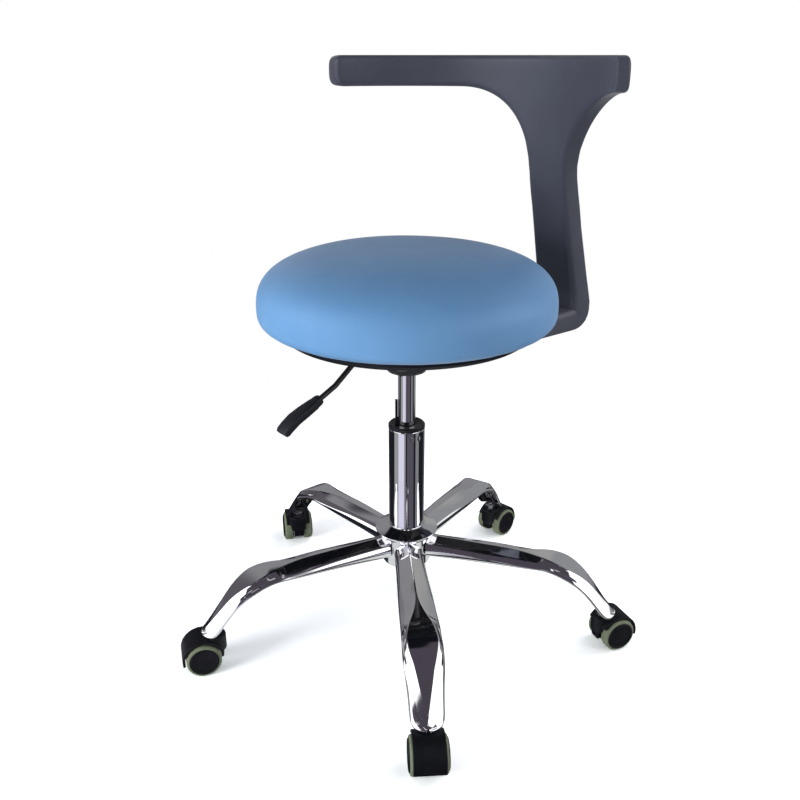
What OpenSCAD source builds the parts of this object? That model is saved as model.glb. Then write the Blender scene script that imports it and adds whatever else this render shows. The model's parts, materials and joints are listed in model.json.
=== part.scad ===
// Dentist stool: a five-leg base on twin-wheel casters, a gas lift, a round
// upholstered seat and a curved arm rest that swings round the column.
// Origin: on the floor, on the axis of the column. +Z is up and -Y is the front.

/* [Base] */
// Radius of the circle through the five caster stems
stem_circle_r = 286; // [282:0.5:290]
// Direction of the front leg, measured from +X
front_leg_angle = -85.4; // [-90:0.1:-80]
// Outside radius of the hub sleeve
hub_r = 34.5; // [33:0.5:37]
// Height of the hub's lower end above the floor
hub_low = 107; // [105:1:109]
// Height at which the hub starts to flare into its collar
hub_collar_low = 147.5; // [147.5:0.5:150]
// Width of a leg where it meets the hub
leg_root_w = 36; // [32:1:38]
// Width of a leg at its widest place
leg_max_w = 48.6; // [46:0.2:50]
// Width of a leg at its outer end
leg_tip_w = 40; // [36:1:42]
// Thickness of the pressed steel sheet of a leg
leg_wall = 2; // [1.5:0.1:2.5]

/* [Casters] */
// Radius of a wheel with its tyre
wheel_r = 24; // [23.5:0.5:24.5]
// Distance from the swivel axis back to the wheel axle
trail = 19; // [18:0.5:21]
// Width of one tyre
tyre_w = 14; // [12:0.5:15]
// Thickness of a tyre
tyre_t = 4; // [3:0.5:5]
// Distance between the two wheels of one caster
wheel_gap = 18; // [17:0.5:20]
// Width of the hood over the wheels
hood_w = 40; // [36:1:44]
// Heading in which the front caster trails
heading_front = -86; // [-180:1:180]
// Heading in which the right caster trails
heading_right = 22; // [-180:1:180]
// Heading in which the back right caster trails
heading_back_right = 45; // [-180:1:180]
// Heading in which the back left caster trails
heading_back_left = 102; // [-180:1:180]
// Heading in which the left caster trails
heading_left = 197; // [-180:1:180]

/* [Column] */
// Outside radius of the column tube
tube_r = 25; // [24.5:0.5:26]
// Height of the top of the column tube
tube_top = 315; // [311:1:317]
// Outside radius of the gas cylinder
cylinder_r = 12; // [12:0.5:14]
// Height of the gas cylinder's lower end
cylinder_low = 185; // [180:1:190]
// Height of the gas cylinder's upper end
cylinder_top = 436; // [435:0.5:437]
// Radius of the piston rod
rod_r = 5; // [4:0.5:5]

/* [Seat] */
// Radius of the seat cushion at its widest place
seat_r = 196.5; // [180:0.5:205]
// Height of the top of the cushion
seat_top = 564; // [550:1:575]
// Height of the cushion's widest place
seat_wide_z = 490; // [485:1:495]
// Height of the cushion's underside
seat_low = 465.5; // [465:0.5:468]
// Radius of the plywood seat board
board_r = 155; // [150:1:160]
// Radius of the pan's rim
pan_r = 168; // [164:1:172]
// Height of the pan's underside
pan_low = 452; // [451.5:0.5:453]

/* [Arm rest] */
// Direction of the arm rest's upright, measured from +X
upright_angle = 38; // [0:1:90]
// Angle from the upright to the arm's long end
long_end_angle = 77.5; // [60:1:85]
// Angle from the upright to the arm's short end
short_end_angle = 41; // [35:1:60]
// Radius of the arm's inner face
arm_r = 233; // [225:1:245]
// Thickness of the arm
arm_t = 30; // [26:1:34]
// Height of the arm's top face
arm_top = 793; // [775:1:815]
// Height of the arm's cross-section
arm_h = 42; // [36:1:46]
// Half width of the upright at its neck
neck_half = 33; // [28:1:36]
// How far the neck stands off the foot's middle, towards the short end
neck_shift = 12; // [0:1:14]
// Half width of the upright at its foot
foot_half = 36; // [30:1:40]
// Height of the foot's underside
foot_low = 407; // [406:1:408]

/* [Lever] */
// Direction of the height lever, measured from +X
lever_angle = 220; // [210:1:240]
// Radius of the lever rod
lever_rod_r = 3.5; // [3:0.25:4]
// Width of the lever's paddle
paddle_w = 19; // [15:1:22]

/* [Hidden] */

smooth = 96;
fit_gap = 0.05;
LEGS = 5;
leg_step = 72;
headings = [heading_front, heading_right, heading_back_right, heading_back_left, heading_left];

// Leg: a gentle fall from the hub, a bend, then a steep fall to the caster.
leg_root_x = 28;
leg_bend_x = 195;
leg_steep = 52;
leg_end_z = 56;
leg_top_start = [leg_root_x, 146];
leg_top_fall = 3;
leg_top_bend_r = 100;
leg_under_start = [leg_root_x, 118];
leg_under_fall = -1.8;
leg_under_bend_r = 85;
leg_wide_x = 236;
leg_open_x = 214;
leg_ridge = 0.9;
leg_facet = 18.6;
leg_facet_start = 150;
leg_facet_taper = 0.25;
leg_tip_reach = 17;
leg_lip = 3;
sleeve_r = 8.5;
stem_r = 5.5;
stem_low = 27;
stem_top = 65;
collar_low = 53.2;
collar_r = 8.5;

// Hub
hub_cap_z = 165;
collar_out = 10;
collar_neck = 3;
collar_neck_h = 5;
collar_drop = 7.3;
collar_edge = 2.2;
tube_low = 99;
tube_low_r = tube_r - 1.4;
tube_wall = 1.5;
tube_floor = 3;
rod_hole_r = rod_r + 0.3;

// Casters
pocket_r = wheel_r + 1.3;
hood_r = wheel_r + 5;
hood_tip = -12;
hood_front = 150;
boss_r = 14;
boss_low = 24;
boss_chamfer = 5;
web_half = wheel_gap / 2 - 1.5;
axle_r = 3;
axle_half = 22;
core_r = wheel_r - tyre_t;
core_rim = wheel_gap / 2 + tyre_w + 1.5;
core_dome = 2;

// Column
bush_low = 247;
bush_lip = 0.4;
bush_lip_h = 6;
strip_h = 34;
strip_w = 6;
strip_t = 3.2;
bearing_r = 9.5;
ball_r = 2;
BALLS = 12;
race_t = 2.4;
race_low = tube_low + tube_floor + fit_gap;
ball_z = race_low + race_t + ball_r;
shoulder_z = ball_z + ball_r + race_t + fit_gap;
cylinder_wall = 1.25;
pin_r = 3;
pin_top = 441.4;
pin_low = 421;
inner_r = 10.3;
inner_wall = 0.9;
guide_h = 11;
head_top = 279;
head_h = 10;
rod_low = tube_low - 8;

// Seat
plate_top = 455;
plate_low = 451;
plate_r = 72;
socket_low = 397;
socket_r = 21;
socket_neck_z = 411;
socket_neck_r = 24;
board_low = 455.2;
board_t = 12;
cover_t = 1.2;
cover_gap = 0.2;
top_square = 2.85;
low_square = 2.64;
low_flat_r = 136;
pan_t = 2.8;
pan_top = 465;
pan_floor_r = pan_r - 10.5;
pan_hole_r = 78;
plate_screw_r = 58;
pan_screw_r = 133;
pan_screw_angle = -108;
screw_r = 2.5;
screw_head_r = 5;
screw_head_h = 2.5;
screw_len = 9;

// Arm rest
foot_top = 440;
foot_in_r = 190;
insert_top = 695;
turn_z = 465;
neck_z = 595;
neck_end_z = 675;
flare_z = 635;
bracket_t = 6;
bracket_low = 402;
bracket_w = 50;
bracket_tail = 29;
insert_w = 40;
bracket_high = 414;
bush_hole_r = 23.5;
flange_r = 30;

// Lever, as (distance out, height) along its direction
pivot_x = 34;
pivot_z = 446 - (pivot_x - 1) * tan(9);
lever_start = [1, 446];
lever_falls = [9, 38, 26];
lever_runs = [82, 47, 36];
paddle_t = 9;
lever_pin_r = 2.5;
bend_stop = 1.5;
ear_low = 435;
ear_in = 7;
ear_out = 10;

// Points on an arc about c from angle a0 to angle a1.
function arc(c, r, a0, a1, steps) =
  [for (i = [0 : steps]) c + r * [cos(a0 + (a1 - a0) * i / steps), sin(a0 + (a1 - a0) * i / steps)]];

// A straight fall, a bend of radius r, and a straight steep fall down to end_z.
function leg_line(start, fall, r, end_z) =
  let (
    bend = [leg_bend_x, start[1] - (leg_bend_x - start[0]) * tan(fall)],
    centre = bend - r * [sin(fall), cos(fall)],
    last = centre + r * [sin(leg_steep), cos(leg_steep)],
    run = (last[1] - end_z) / tan(leg_steep)
  )
  concat([start], arc(centre, r, 90 - fall, 90 - leg_steep, 12), [[last[0] + run, end_z]]);

function reverse(points) = [for (i = [len(points) - 1 : -1 : 0]) points[i]];

function flip(points) = [for (p = reverse(points)) [-p[0], p[1]]];

function caster_angle(i) = front_leg_angle + leg_step * i;

// Puts children drawn along +X where leg i is.
module at_leg(i) {
  rotate([0, 0, caster_angle(i)]) children();
}

// Puts children drawn round the swivel axis, trailing along +X, on caster i.
module at_caster(i) {
  translate([stem_circle_r * cos(caster_angle(i)), stem_circle_r * sin(caster_angle(i)), 0])
    rotate([0, 0, headings[i]])
      children();
}

// Extrudes a drawing of the X-Z plane to the given width, centred on Y = 0.
module across(width) {
  rotate([90, 0, 0]) linear_extrude(height = width, center = true) children();
}

// Turns a drawing of (radius, distance from the middle) about a caster's axle.
module about_axle(side) {
  translate([trail, 0, wheel_r])
    rotate([-90 * side, 0, 0])
      rotate_extrude($fn = smooth)
        children();
}

// Height of a leg's top or underside at distance x from the column's axis.
function leg_z(start, fall, r, x) =
  let (
    bend = [leg_bend_x, start[1] - (leg_bend_x - start[0]) * tan(fall)],
    centre = bend - r * [sin(fall), cos(fall)],
    last = centre + r * [sin(leg_steep), cos(leg_steep)]
  )
  x < leg_bend_x ? start[1] - (x - start[0]) * tan(fall)
  : x < last[0] ? centre[1] + sqrt(r * r - pow(x - centre[0], 2))
  : last[1] - (x - last[0]) * tan(leg_steep);

// Half width of a leg: widest at leg_wide_x and round at the tip.
function leg_half(x, inset) =
  x < leg_wide_x
    ? leg_root_w / 2 - inset
      + (leg_max_w - leg_root_w) * (1 - cos(180 * (x - leg_root_x) / (leg_wide_x - leg_root_x))) / 4
  : x < stem_circle_r
    ? leg_tip_w / 2 - inset
      + (leg_max_w - leg_tip_w) * (1 + cos(180 * (x - leg_wide_x) / (stem_circle_r - leg_wide_x))) / 4
  : (leg_tip_w / 2 - inset) * sqrt(max(1 - pow((x - stem_circle_r) / (leg_tip_reach - inset), 2), 0.02));

// Half width of the flat along a leg's top: a ridge, then a broad facet, then narrow again.
function leg_flat(x) =
  let (grown = min(max((x - leg_facet_start) / (leg_wide_x - leg_facet_start), 0), 1))
  leg_ridge + leg_facet * grown * grown * (3 - 2 * grown) - leg_facet_taper * max(x - leg_wide_x, 0);

// How far the section has changed from a closed oval (0) to a flat channel (1).
function leg_press(x) = min(max((x - 90) / 110, 0), 1);

// One side of a leg's section at x, from the top flat down.
function leg_side(x, inset, open) =
  let (
    half = leg_half(x, inset),
    under = max(leg_z(leg_under_start, leg_under_fall, leg_under_bend_r, x), leg_end_z),
    top = max(leg_z(leg_top_start, leg_top_fall, leg_top_bend_r, x), under + leg_lip) - inset,
    depth = max(top - under - inset, 1),
    press = leg_press(x),
    flat = min(leg_flat(x), half * 0.82),
    through = open && x > leg_open_x,
    low = through ? leg_end_z - 30 : top - depth
  )
  [
    [flat, top],
    [max(half * (0.78 + 0.1 * press), (flat + half) / 2 + 0.5), top - depth * (0.16 + 0.2 * press)],
    [half, top - depth * (0.5 + 0.3 * press)],
    [half * (0.78 + 0.2 * press), through ? low + 1 : low + depth * (0.16 - 0.1 * press)],
    [half * (0.2 + 0.7 * press), low]
  ];

// Closed ring of points round a leg at x.
function leg_ring(x, inset, open) =
  let (side = leg_side(x, inset, open))
  concat([for (q = side) [x, q[0], q[1]]], [for (q = reverse(side)) [x, -q[0], q[1]]]);

// A skin of triangles over rings that all have the same number of points.
module loft(rings) {
  n = len(rings[0]);
  last = len(rings) - 1;
  polyhedron(
    points = [for (ring = rings, q = ring) q],
    faces = concat(
      [for (i = [1 : n - 2]) [0, i + 1, i]],
      [for (i = [1 : n - 2]) [last * n, last * n + i, last * n + i + 1]],
      [for (k = [0 : last - 1], i = [0 : n - 1]) [k * n + i, k * n + (i + 1) % n, (k + 1) * n + i]],
      [for (k = [0 : last - 1], i = [0 : n - 1])
        [k * n + (i + 1) % n, (k + 1) * n + (i + 1) % n, (k + 1) * n + i]]
    )
  );
}

module leg_skin(inset, open) {
  reach = stem_circle_r + leg_tip_reach - inset - 0.2;
  root = leg_root_x - 3 * inset;
  straight = [for (i = [0 : 3]) root + (leg_bend_x - root) * i / 4];
  bent = [for (i = [0 : 11]) leg_bend_x + (reach - leg_bend_x) * i / 11];
  loft([for (x = concat(straight, bent)) leg_ring(x, inset, open)]);
}

// Sleeve that holds the caster's stem, up to just inside the leg's top.
module stem_sleeve() {
  line = leg_line(leg_top_start - [0, 1.4], leg_top_fall, leg_top_bend_r, 50);
  intersection() {
    translate([stem_circle_r, 0, leg_end_z]) cylinder(r = sleeve_r, h = 40, $fn = smooth);
    across(40) polygon(concat(line, [[220, 50]]));
  }
}

// One pressed leg: a closed oval near the hub that opens below towards its end.
module leg(i) {
  color("silver") at_leg(i) difference() {
    union() {
      difference() {
        leg_skin(0, false);
        leg_skin(leg_wall, true);
      }
      stem_sleeve();
    }
    cylinder(r = hub_r + 0.02, h = 200, $fn = smooth);
    translate([stem_circle_r, 0, leg_end_z - 1])
      cylinder(r = stem_r + 0.02, h = stem_top - leg_end_z + 1.5, $fn = smooth);
  }
}

module hub() {
  color("silver") rotate_extrude($fn = smooth) polygon([
    [tube_low_r + 0.23, hub_low],
    [hub_r - 1.5, hub_low],
    [hub_r, hub_low + 1.5],
    [hub_r, hub_collar_low],
    [hub_r + collar_neck, hub_collar_low + collar_neck_h],
    [hub_r + collar_out, hub_cap_z - collar_drop - collar_edge],
    [hub_r + collar_out, hub_cap_z - collar_drop],
    [tube_r + 1.6, hub_cap_z],
    [tube_r + 0.03, hub_cap_z]
  ]);
}

module caster_stems() {
  color("dimgray") for (i = [0 : LEGS - 1]) at_caster(i) {
    translate([0, 0, stem_low]) cylinder(r = stem_r, h = stem_top - stem_low, $fn = smooth);
    translate([0, 0, collar_low]) cylinder(r = collar_r, h = leg_end_z - collar_low - 0.1, $fn = smooth);
  }
}

// The fixed tube of the gas lift, tapered where it sits in the hub.
module column_tube() {
  color("silver") rotate_extrude($fn = smooth) polygon([
    [rod_hole_r, tube_low],
    [tube_low_r, tube_low],
    [tube_r, hub_cap_z],
    [tube_r, tube_top],
    [tube_r - tube_wall, tube_top],
    [tube_r - tube_wall, hub_cap_z],
    [tube_low_r - tube_wall, tube_low + tube_floor],
    [rod_hole_r, tube_low + tube_floor]
  ]);
}

// Plastic sleeve that guides the gas cylinder, with a lip on top of the tube
// and a strip beside the cylinder that stops the seat at its lowest place.
module guide_bushing() {
  color("black") {
    rotate_extrude($fn = smooth) polygon([
      [cylinder_r + fit_gap, bush_low],
      [tube_r - tube_wall - 0.1, bush_low],
      [tube_r - tube_wall - 0.1, tube_top + 0.1],
      [tube_r + bush_lip, tube_top + 0.1],
      [tube_r + bush_lip, tube_top + bush_lip_h - 2],
      [tube_r - 1.5, tube_top + bush_lip_h],
      [cylinder_r + 3, tube_top + bush_lip_h - 1],
      [cylinder_r + fit_gap, tube_top + bush_lip_h - 2]
    ]);
    rotate([0, 0, 185])
      translate([cylinder_r + 0.6, -strip_w / 2, tube_top + 1])
        cube([strip_t, strip_w, bush_lip_h - 1 + strip_h]);
  }
}

// Bought ball bearing on the tube's floor: two washers and a ring of balls.
module thrust_bearing() {
  color("lightgray") {
    for (z = [race_low, ball_z + ball_r]) translate([0, 0, z]) difference() {
      cylinder(r = bearing_r + 3.5, h = race_t, $fn = smooth);
      translate([0, 0, -1]) cylinder(r = rod_hole_r + 0.4, h = race_t + 2, $fn = smooth);
    }
    for (i = [0 : BALLS - 1]) rotate([0, 0, 360 * i / BALLS])
      translate([bearing_r, 0, ball_z])
        sphere(r = ball_r - 0.02, $fn = 32);
  }
}

module piston_rod() {
  color("lightgray") rotate_extrude($fn = smooth) polygon([
    [0, rod_low],
    [rod_r - 1, rod_low],
    [rod_r, rod_low + 1],
    [rod_r, rod_low + 4],
    [rod_r - 0.8, rod_low + 4],
    [rod_r - 0.8, rod_low + 5.8],
    [rod_r, rod_low + 5.8],
    [rod_r, shoulder_z],
    [bearing_r + 1.5, shoulder_z],
    [bearing_r + 1.5, shoulder_z + 2],
    [rod_r, shoulder_z + 4],
    [rod_r, head_top - head_h],
    [rod_r - 1.5, head_top - head_h],
    [rod_r - 1.5, head_top + 2],
    [0, head_top + 2]
  ]);
}

// The piston, with the groove of its seal.
module piston_head() {
  head_r = inner_r - inner_wall - fit_gap;
  color("darkgray") rotate_extrude($fn = smooth) polygon([
    [rod_r - 1.48, head_top - head_h + 0.05],
    [head_r, head_top - head_h + 0.05],
    [head_r, head_top - head_h + 3.5],
    [head_r - 1, head_top - head_h + 3.5],
    [head_r - 1, head_top - 3.5],
    [head_r, head_top - 3.5],
    [head_r, head_top],
    [rod_r - 1.48, head_top]
  ]);
}

module rod_clip() {
  color("gray") translate([0, 0, rod_low + 4.1]) difference() {
    cylinder(r = rod_r + 3.5, h = 1.5, $fn = smooth);
    translate([0, 0, -1]) cylinder(r = rod_r - 0.75, h = 4, $fn = smooth);
    translate([0, -rod_r + 1.5, -1]) cube([rod_r + 5, 2 * rod_r - 3, 4]);
  }
}

// Pressure cylinder: closed on top round the valve pin, rolled in at the bottom.
module gas_cylinder() {
  color("silver") rotate_extrude($fn = smooth) polygon([
    [rod_r + 1.5, cylinder_low],
    [cylinder_r - 1, cylinder_low],
    [cylinder_r, cylinder_low + 1],
    [cylinder_r, cylinder_top - 1.5],
    [cylinder_r - 1.5, cylinder_top],
    [pin_r + fit_gap, cylinder_top],
    [pin_r + fit_gap, cylinder_top - 4],
    [cylinder_r - cylinder_wall, cylinder_top - 4],
    [cylinder_r - cylinder_wall, cylinder_low + 1.2],
    [rod_r + 1.5, cylinder_low + 1.2]
  ]);
}

module inner_cylinder() {
  color("lightgray") translate([0, 0, cylinder_low + guide_h + 1.5]) difference() {
    cylinder(r = inner_r, h = 222, $fn = smooth);
    translate([0, 0, -1]) cylinder(r = inner_r - inner_wall, h = 224, $fn = smooth);
  }
}

module rod_guide() {
  color("dimgray") translate([0, 0, cylinder_low + 1.3]) difference() {
    cylinder(r = cylinder_r - cylinder_wall - fit_gap, h = guide_h, $fn = smooth);
    translate([0, 0, -1]) cylinder(r = rod_r + fit_gap, h = guide_h + 2, $fn = smooth);
  }
}

module valve_pin() {
  color("white") translate([0, 0, pin_low]) cylinder(r = pin_r, h = pin_top - pin_low, $fn = smooth);
}

// Puts children drawn along +X on the lever's direction.
module at_lever() {
  rotate([0, 0, lever_angle]) children();
}

// Places of a ring of screws, as translations of the children.
module screw_ring(count, r, first) {
  for (i = [0 : count - 1]) rotate([0, 0, first + 360 * i / count]) translate([r, 0, 0]) children();
}

// Steel plate under the board, with the socket that sits on the gas cylinder
// and the two ears that carry the lever.
module seat_mount() {
  color("black") difference() {
    union() {
      rotate_extrude($fn = smooth) polygon([
        [cylinder_r + 0.02, socket_low],
        [socket_r, socket_low],
        [socket_r, socket_low + 1.4],
        [socket_r - 1, socket_low + 1.4],
        [socket_r - 1, socket_low + 4.1],
        [socket_r, socket_low + 4.1],
        [socket_r, socket_neck_z],
        [socket_neck_r, socket_neck_z],
        [socket_neck_r, plate_low],
        [plate_r, plate_low],
        [plate_r, plate_top],
        [cylinder_r + 0.02, plate_top]
      ]);
      at_lever() for (side = [-1, 1]) translate([pivot_x - 7, side * (ear_in + ear_out) / 2 - (ear_out - ear_in) / 2, ear_low])
        cube([14, ear_out - ear_in, plate_low - ear_low + 1]);
    }
    at_lever() translate([0, -5.5, ear_low - 2]) cube([socket_neck_r + 2, 11, plate_low - ear_low + 2]);
    at_lever() translate([pivot_x, 0, pivot_z])
      rotate([90, 0, 0])
        cylinder(r = lever_pin_r + 0.02, h = 40, center = true, $fn = smooth);
    screw_ring(4, plate_screw_r, 45) translate([0, 0, plate_low - 1]) cylinder(r = screw_r + 0.3, h = 8, $fn = smooth);
  }
}

module screw(head_z) {
  translate([0, 0, head_z - screw_head_h]) cylinder(r = screw_head_r, h = screw_head_h, $fn = smooth);
  translate([0, 0, head_z - 0.5]) cylinder(r = screw_r, h = screw_len + 0.5, $fn = smooth);
}

// Four screws through the plate and six through the pan, all into the board.
module seat_screws() {
  color("silver") {
    screw_ring(4, plate_screw_r, 45) screw(plate_low);
    screw_ring(6, pan_screw_r, pan_screw_angle) screw(pan_low);
  }
}

module seat_board() {
  color("burlywood") translate([0, 0, board_low]) difference() {
    cylinder(r = board_r, h = board_t, $fn = smooth);
    screw_ring(4, plate_screw_r, 45) translate([0, 0, -1]) cylinder(r = screw_r + 0.02, h = 9, $fn = smooth);
    screw_ring(6, pan_screw_r, pan_screw_angle) translate([0, 0, -1]) cylinder(r = screw_r + 0.02, h = 9, $fn = smooth);
  }
}

// Plastic dish that hides the board's underside and edge.
module seat_pan() {
  color("black") difference() {
    rotate_extrude($fn = smooth) polygon([
      [pan_hole_r, pan_low],
      [pan_floor_r, pan_low],
      [pan_r - 6, pan_low + 3],
      [pan_r - 1, pan_low + 8],
      [pan_r, pan_top],
      [pan_r - pan_t, pan_top],
      [pan_r - pan_t - 1, pan_low + 9],
      [pan_r - 8, pan_low + 3 + pan_t],
      [pan_floor_r, pan_low + pan_t],
      [pan_hole_r, pan_low + pan_t]
    ]);
    screw_ring(6, pan_screw_r, pan_screw_angle) translate([0, 0, pan_low - 1]) cylinder(r = screw_r + 0.3, h = 6, $fn = smooth);
  }
}

// Right-hand half of the cushion's section, brought in by inset on all sides.
function cushion_top(inset) = [for (i = [0 : 18]) let (t = 90 - 5 * i) [
  (seat_r - inset) * pow(cos(t), 2 / top_square),
  seat_wide_z + (seat_top - inset - seat_wide_z) * pow(sin(t), 2 / top_square)
]];

function cushion_low(inset) = [for (i = [1 : 9]) let (t = 10 * i) [
  low_flat_r + (seat_r - inset - low_flat_r) * pow(cos(t), 2 / low_square),
  seat_wide_z - (seat_wide_z - seat_low - inset) * pow(sin(t), 2 / low_square)
]];

module cushion_section(inset, flat_r) {
  outline = [for (p = concat(cushion_top(inset), cushion_low(inset))) if (p[0] > flat_r) p];
  polygon(concat([[0, seat_top - inset]], outline, [[flat_r, seat_low + inset], [0, seat_low + inset]]));
}

// Foam pad on the board.
module seat_foam() {
  foam_low = board_low + board_t + 0.2;
  color("khaki") rotate_extrude($fn = smooth) intersection() {
    cushion_section(cover_t + cover_gap, board_r + 2);
    translate([0, foam_low]) square([seat_r, seat_top]);
  }
}

// Upholstery skin: over the foam and down between the board and the pan.
module seat_cover() {
  tuck_r = board_r + cover_gap;
  color("cornflowerblue") rotate_extrude($fn = smooth) {
    difference() {
      cushion_section(0, board_r + 2);
      cushion_section(cover_t, board_r + 2);
      translate([-1, 0]) square([tuck_r + 1, seat_wide_z]);
    }
    translate([tuck_r, board_low + 1]) square([cover_t, seat_low + cover_t - board_low - 1]);
  }
}

module lever_pin() {
  color("gray") at_lever() translate([pivot_x, 0, pivot_z])
    rotate([90, 0, 0])
      cylinder(r = lever_pin_r, h = 2 * ear_out + 4, center = true, $fn = smooth);
}

// Spring ring that holds the arm rest up on the socket.
module arm_clip() {
  color("gray") translate([0, 0, socket_low + 1.5]) difference() {
    cylinder(r = socket_r + 5, h = 2.5, $fn = smooth);
    translate([0, 0, -1]) cylinder(r = socket_r - 0.95, h = 5, $fn = smooth);
    translate([0, -4, -1]) cube([socket_r + 10, 8, 5]);
  }
}

// Flanged plastic bush on which the arm rest turns.
module arm_bush() {
  color("white") difference() {
    union() {
      translate([0, 0, bracket_low - 0.4]) cylinder(r = bush_hole_r, h = bracket_t + 1.4, $fn = smooth);
      translate([0, 0, bracket_low + bracket_t + 0.1]) cylinder(r = flange_r, h = 2, $fn = smooth);
    }
    translate([0, 0, bracket_low - 2]) cylinder(r = socket_r + fit_gap, h = 20, $fn = smooth);
  }
}

// Inner and outer faces of the upright, as (radius, height) from the foot up.
function upright_r(z) =
  z > neck_end_z ? arm_r
  : z > neck_z ? arm_r + 17 * pow((neck_end_z - z) / (neck_end_z - neck_z), 1.6)
  : arm_r + 17 + (neck_z - z) * 0.277;

// Puts children drawn along +X in the direction of the upright.
module at_upright() {
  rotate([0, 0, upright_angle]) children();
}

// Section of the steel strap: out under the seat, up a step, and up the upright.
function strap_section(gap) =
  let (
    outer = [
      [-bracket_tail, bracket_low],
      [95, bracket_low],
      [125, bracket_high],
      [upright_r(turn_z) + 12, bracket_high],
      [upright_r(turn_z) + 19, bracket_high + 7],
      [upright_r(turn_z) + 19, turn_z],
      [upright_r(neck_z) + 19, neck_z],
      [upright_r(insert_top) + 18, insert_top + 2 * gap]
    ],
    inner = [
      [-bracket_tail, bracket_low + bracket_t],
      [95, bracket_low + bracket_t],
      [125, bracket_high + bracket_t],
      [upright_r(turn_z) + 11, bracket_high + bracket_t],
      [upright_r(turn_z) + 13, bracket_high + bracket_t + 2],
      [upright_r(turn_z) + 13, turn_z],
      [upright_r(neck_z) + 13, neck_z],
      [upright_r(insert_top) + 12, insert_top]
    ]
  )
  concat([for (q = outer) q + [gap, -gap]], reverse([for (q = inner) q + [-gap, gap]]));

module strap(gap) {
  at_upright() intersection() {
    across(bracket_w + 2 * gap) polygon(strap_section(gap));
    union() {
      translate([-50, -bracket_w / 2 - 1, 380]) cube([160, bracket_w + 2, 60]);
      translate([100, -insert_w / 2 - gap, 380]) cube([300, insert_w + 2 * gap, 400]);
    }
  }
}

// Steel strap from the column out under the seat and up inside the pad.
module arm_bracket() {
  color("black") difference() {
    strap(0);
    translate([0, 0, bracket_low - 1]) cylinder(r = bush_hole_r + 0.02, h = bracket_t + 2, $fn = smooth);
  }
}

// Section of the arm rest along the upright: arm, upright and foot in one.
module pad_section() {
  edge = 7;
  inner = [for (z = [foot_top + 12 : 24 : arm_top - arm_h + 8]) [upright_r(z), z]];
  outer = [for (z = [foot_low + 30 : 24 : arm_top - arm_h + 8]) [upright_r(z) + (z > flare_z ? arm_t : arm_t + 5 * (flare_z - z) / 180), z]];
  polygon(concat(
    [[foot_in_r, foot_low], [foot_in_r, foot_top]],
    inner,
    arc([arm_r + edge, arm_top - edge], edge, 180, 90, 4),
    arc([arm_r + arm_t - edge, arm_top - edge], edge, 90, 0, 4),
    reverse(outer),
    arc([upright_r(foot_low + 26) + arm_t - 20, foot_low + 24], 24, 0, -90, 6)
  ));
}

// How far the outline leans towards the short end at height z.
function lean(z) = neck_shift * min(max((z - turn_z - 10) / 200, 0), 1);

// Outline seen along the upright's direction: a foot, a neck and two flares.
module pad_outline() {
  arm_low = arm_top - arm_h;
  flare_half = 146;
  side = concat(
    [[foot_half, foot_low - 5], [foot_half, turn_z]],
    [for (z = [turn_z + 30 : 30 : flare_z - 10])
      [foot_half + (neck_half - foot_half) * min((z - turn_z) / (neck_z - turn_z), 1), z]],
    [for (i = [0 : 10]) [
      flare_half - (flare_half - neck_half) * cos(9 * i),
      flare_z + (arm_low - flare_z) * sin(9 * i)
    ]],
    [[400, arm_low], [400, arm_top + 5]]
  );
  polygon([for (q = concat(side, flip(side))) [q[0] - lean(q[1]), q[1]]]);
}

// Moulded foam skin of the arm rest, round the steel strap.
module arm_pad() {
  color("dimgray") difference() {
    intersection() {
      rotate([0, 0, upright_angle - short_end_angle])
        rotate_extrude(angle = short_end_angle + long_end_angle, $fn = smooth)
          pad_section();
      at_upright() rotate([90, 0, 90]) linear_extrude(height = 400) pad_outline();
    }
    strap(0.3);
  }
}

// Corner i of the lever's path, as (distance out, height).
function lever_corner(i) =
  i == 0 ? lever_start : lever_corner(i - 1) + lever_runs[i - 1] * [cos(lever_falls[i - 1]), -sin(lever_falls[i - 1])];

// Straight i of the lever rod, stopped short of the pressed bends.
module lever_straight(i) {
  first = i == 0 ? 0 : bend_stop;
  last = i == 2 ? 0 : bend_stop;
  translate([lever_corner(i)[0], 0, lever_corner(i)[1]])
    rotate([0, 90 + lever_falls[i], 0])
      translate([0, 0, first])
        cylinder(r = lever_rod_r, h = lever_runs[i] - first - last, $fn = smooth);
}

// Bent rod with a boss that turns on the pin between the ears.
module lever_rod() {
  color("black") at_lever() difference() {
    union() {
      for (i = [0 : 2]) lever_straight(i);
      for (i = [1, 2]) translate([lever_corner(i)[0], 0, lever_corner(i)[1]])
        rotate([90, 0, 0])
          cylinder(r = lever_rod_r + 0.6, h = 2 * lever_rod_r + 0.4, center = true, $fn = smooth);
      translate([pivot_x, 0, pivot_z]) rotate([90, 0, 0]) cylinder(r = 5.5, h = 10, center = true, $fn = smooth);
    }
    translate([pivot_x, 0, pivot_z])
      rotate([90, 0, 0])
        cylinder(r = lever_pin_r + fit_gap, h = 30, center = true, $fn = smooth);
  }
}

// Flat plastic handle, narrow at the rod and bent down towards its end.
module lever_paddle() {
  root = lever_corner(3) - 12 * [cos(lever_falls[2]), -sin(lever_falls[2])];
  middle = root + 44 * [cos(22), -sin(22)];
  end = middle + 22 * [cos(40), -sin(40)];
  places = [root, middle, end];
  widths = [0.66, 0.94, 1] * paddle_w;
  color("black") at_lever() difference() {
    for (i = [0, 1]) hull() for (j = [i, i + 1])
      translate([places[j][0], 0, places[j][1]])
        rotate([0, 26, 0])
          cube([3, widths[j], paddle_t], center = true);
    translate([root[0], 0, root[1]])
      rotate([0, 90 + lever_falls[2], 0])
        cylinder(r = lever_rod_r + 0.02, h = 24.4, center = true, $fn = smooth);
  }
}

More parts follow.
